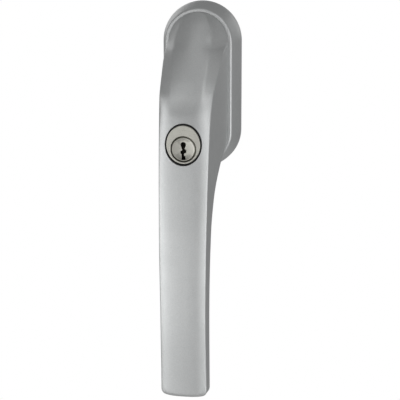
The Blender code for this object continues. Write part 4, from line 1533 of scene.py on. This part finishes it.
    def build(self) -> None:
        """Build every piece."""
        self.build_surround()
        self.build_barrel()
        self.build_small_pieces()
        self.build_plug()
        self.build_plug_pieces()
        self.build_bolt()


# ------------------------------------------------------------------ studio
@dataclass(frozen=True)
class SoftBox:
    """A large soft light, placed by direction and distance round the handle."""

    name: str
    azimuth: float
    elevation: float
    size: Point
    power: float
    distance: float = 1.1


@dataclass
class Studio:
    """Pale floor, soft boxes, room light and camera."""

    aim: Vector = field(default_factory=lambda: Vector((-1.47 * MM, 0.0, -52.1 * MM)))
    azimuth: float = 10.68
    elevation: float = 11.73
    distance: float = 0.70
    lens: float = 141.75
    floor_drop: float = 0.5
    room: float = 0.31
    lights: tuple[SoftBox, ...] = (
        SoftBox("left_low", -72.0, -12.0, (0.5, 0.5), 0.99),
        SoftBox("half_left_low", -48.0, -12.0, (0.5, 0.5), 1.54),
        SoftBox("front_left_low", -24.0, -12.0, (0.5, 0.5), 1.28),
        SoftBox("front_low", 0.0, -12.0, (0.5, 0.5), 0.2),
        SoftBox("front_right_low", 24.0, -12.0, (0.5, 0.5), 1.0),
        SoftBox("half_right_low", 48.0, -12.0, (0.5, 0.5), 1.09),
        SoftBox("right_low", 72.0, -12.0, (0.5, 0.5), 1.6),
        SoftBox("rear_right_low", 96.0, -12.0, (0.5, 0.5), 0.4),
        SoftBox("left", -72.0, 15.0, (0.5, 0.5), 0.92),
        SoftBox("half_left", -48.0, 15.0, (0.5, 0.5), 0.72),
        SoftBox("front_right", 24.0, 15.0, (0.5, 0.5), 0.52),
        SoftBox("half_right", 48.0, 15.0, (0.5, 0.5), 0.84),
        SoftBox("right", 72.0, 15.0, (0.5, 0.5), 0.48),
        SoftBox("rear_right", 96.0, 15.0, (0.5, 0.5), 0.1),
        SoftBox("high_left", -24.0, 45.0, (0.5, 0.5), 0.61),
        SoftBox("high_front", 24.0, 45.0, (0.5, 0.5), 0.28),
        SoftBox("high_right", 48.0, 45.0, (0.5, 0.5), 0.87),
        SoftBox("high_rear_right", 96.0, 45.0, (0.5, 0.5), 0.1),
        SoftBox("top", 0.0, 80.0, (0.5, 0.5), 0.31),
        SoftBox("rear_left_box", -150.0, 15.0, (0.5, 0.5), 0.6),
        SoftBox("rear_right_box", 150.0, 15.0, (0.5, 0.5), 0.4),
    )

    def direction(self, azimuth: float, elevation: float) -> Vector:
        """Unit vector from the handle to a place round it; 0 is in front, positive to the right."""
        a, e = math.radians(azimuth), math.radians(elevation)
        return Vector((math.sin(a) * math.cos(e), -math.cos(a) * math.cos(e), math.sin(e)))

    def build_floor(self) -> None:
        """Lay the plain floor below the handle and mark it as stage."""
        bm = bmesh.new()
        bmesh.ops.create_grid(bm, x_segments=1, y_segments=1, size=3.0)
        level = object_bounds()[0][2] - self.floor_drop
        bmesh.ops.translate(bm, vec=(0, 0, level), verts=bm.verts)
        floor = new_object("studio_floor", bm)
        material = bpy.data.materials.new("studio_floor_paper")
        material.use_nodes = True
        shader = Shader(material.node_tree)
        surface = material.node_tree.nodes["Principled BSDF"]
        surface.inputs["Roughness"].default_value = 0.9
        surface.inputs["Base Color"].default_value = (0.8, 0.8, 0.8, 1.0)
        glow = shader.node("Emission", in_Strength=1.0)
        glow.inputs["Color"].default_value = (1.0, 1.0, 1.0, 1.0)
        seen = shader.node("LightPath")
        mix = shader.node("MixShader")
        shader.link(seen.outputs["Is Camera Ray"], mix.inputs[0])
        shader.link(surface.outputs[0], mix.inputs[1])
        shader.link(glow.outputs[0], mix.inputs[2])
        shader.link(mix.outputs[0], material.node_tree.nodes["Material Output"].inputs["Surface"])
        floor.data.materials.append(material)
        floor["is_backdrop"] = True

    def build_world(self) -> None:
        """Light the room softly, and show it white behind the handle."""
        world = bpy.data.worlds.new("studio_room")
        world.use_nodes = True
        bpy.context.scene.world = world
        shader = Shader(world.node_tree)
        background = world.node_tree.nodes["Background"]
        background.inputs["Color"].default_value = (1.0, 1.0, 1.0, 1.0)
        seen = shader.node("LightPath")
        lift = shader.math("MULTIPLY", seen.outputs["Is Camera Ray"], 1.0 - self.room)
        shader.link(shader.math("ADD", lift, self.room), background.inputs["Strength"])

    def build_lights(self) -> None:
        """Hang the soft boxes, each facing the handle."""
        for box in self.lights:
            light = bpy.data.lights.new(box.name, "AREA")
            light.shape = "RECTANGLE"
            light.size, light.size_y = box.size
            light.energy = box.power
            lamp = bpy.data.objects.new(box.name, light)
            way = self.direction(box.azimuth, box.elevation)
            lamp.location = self.aim + way * box.distance
            lamp.rotation_euler = way.to_track_quat("Z", "Y").to_euler()
            bpy.context.scene.collection.objects.link(lamp)

    def build_camera(self) -> None:
        """Set the camera at its viewing angle."""
        camera = bpy.data.cameras.new("studio_camera")
        camera.lens = self.lens
        camera.sensor_width = 36.0
        camera.clip_start = 0.05
        holder = bpy.data.objects.new("studio_camera", camera)
        way = self.direction(self.azimuth, self.elevation)
        holder.location = self.aim + way * self.distance
        holder.rotation_euler = way.to_track_quat("Z", "Y").to_euler()
        bpy.context.scene.collection.objects.link(holder)
        bpy.context.scene.camera = holder

    def build(self) -> None:
        """Build the whole studio."""
        scene = bpy.context.scene
        scene.view_settings.view_transform = "Standard"
        self.build_floor()
        self.build_world()
        self.build_lights()
        self.build_camera()


def main() -> None:
    """Build the studio and each sub-assembly in order."""
    logging.basicConfig(level=logging.INFO, format="%(name)s: %(message)s")
    Studio().build()
    for group in (Rosette(), Lever(), Drive(), Lock()):
        group.build()
        LOG.info("%s: %d pieces", type(group).__name__, len(group.pieces))


if __name__ == "__main__":
    main()
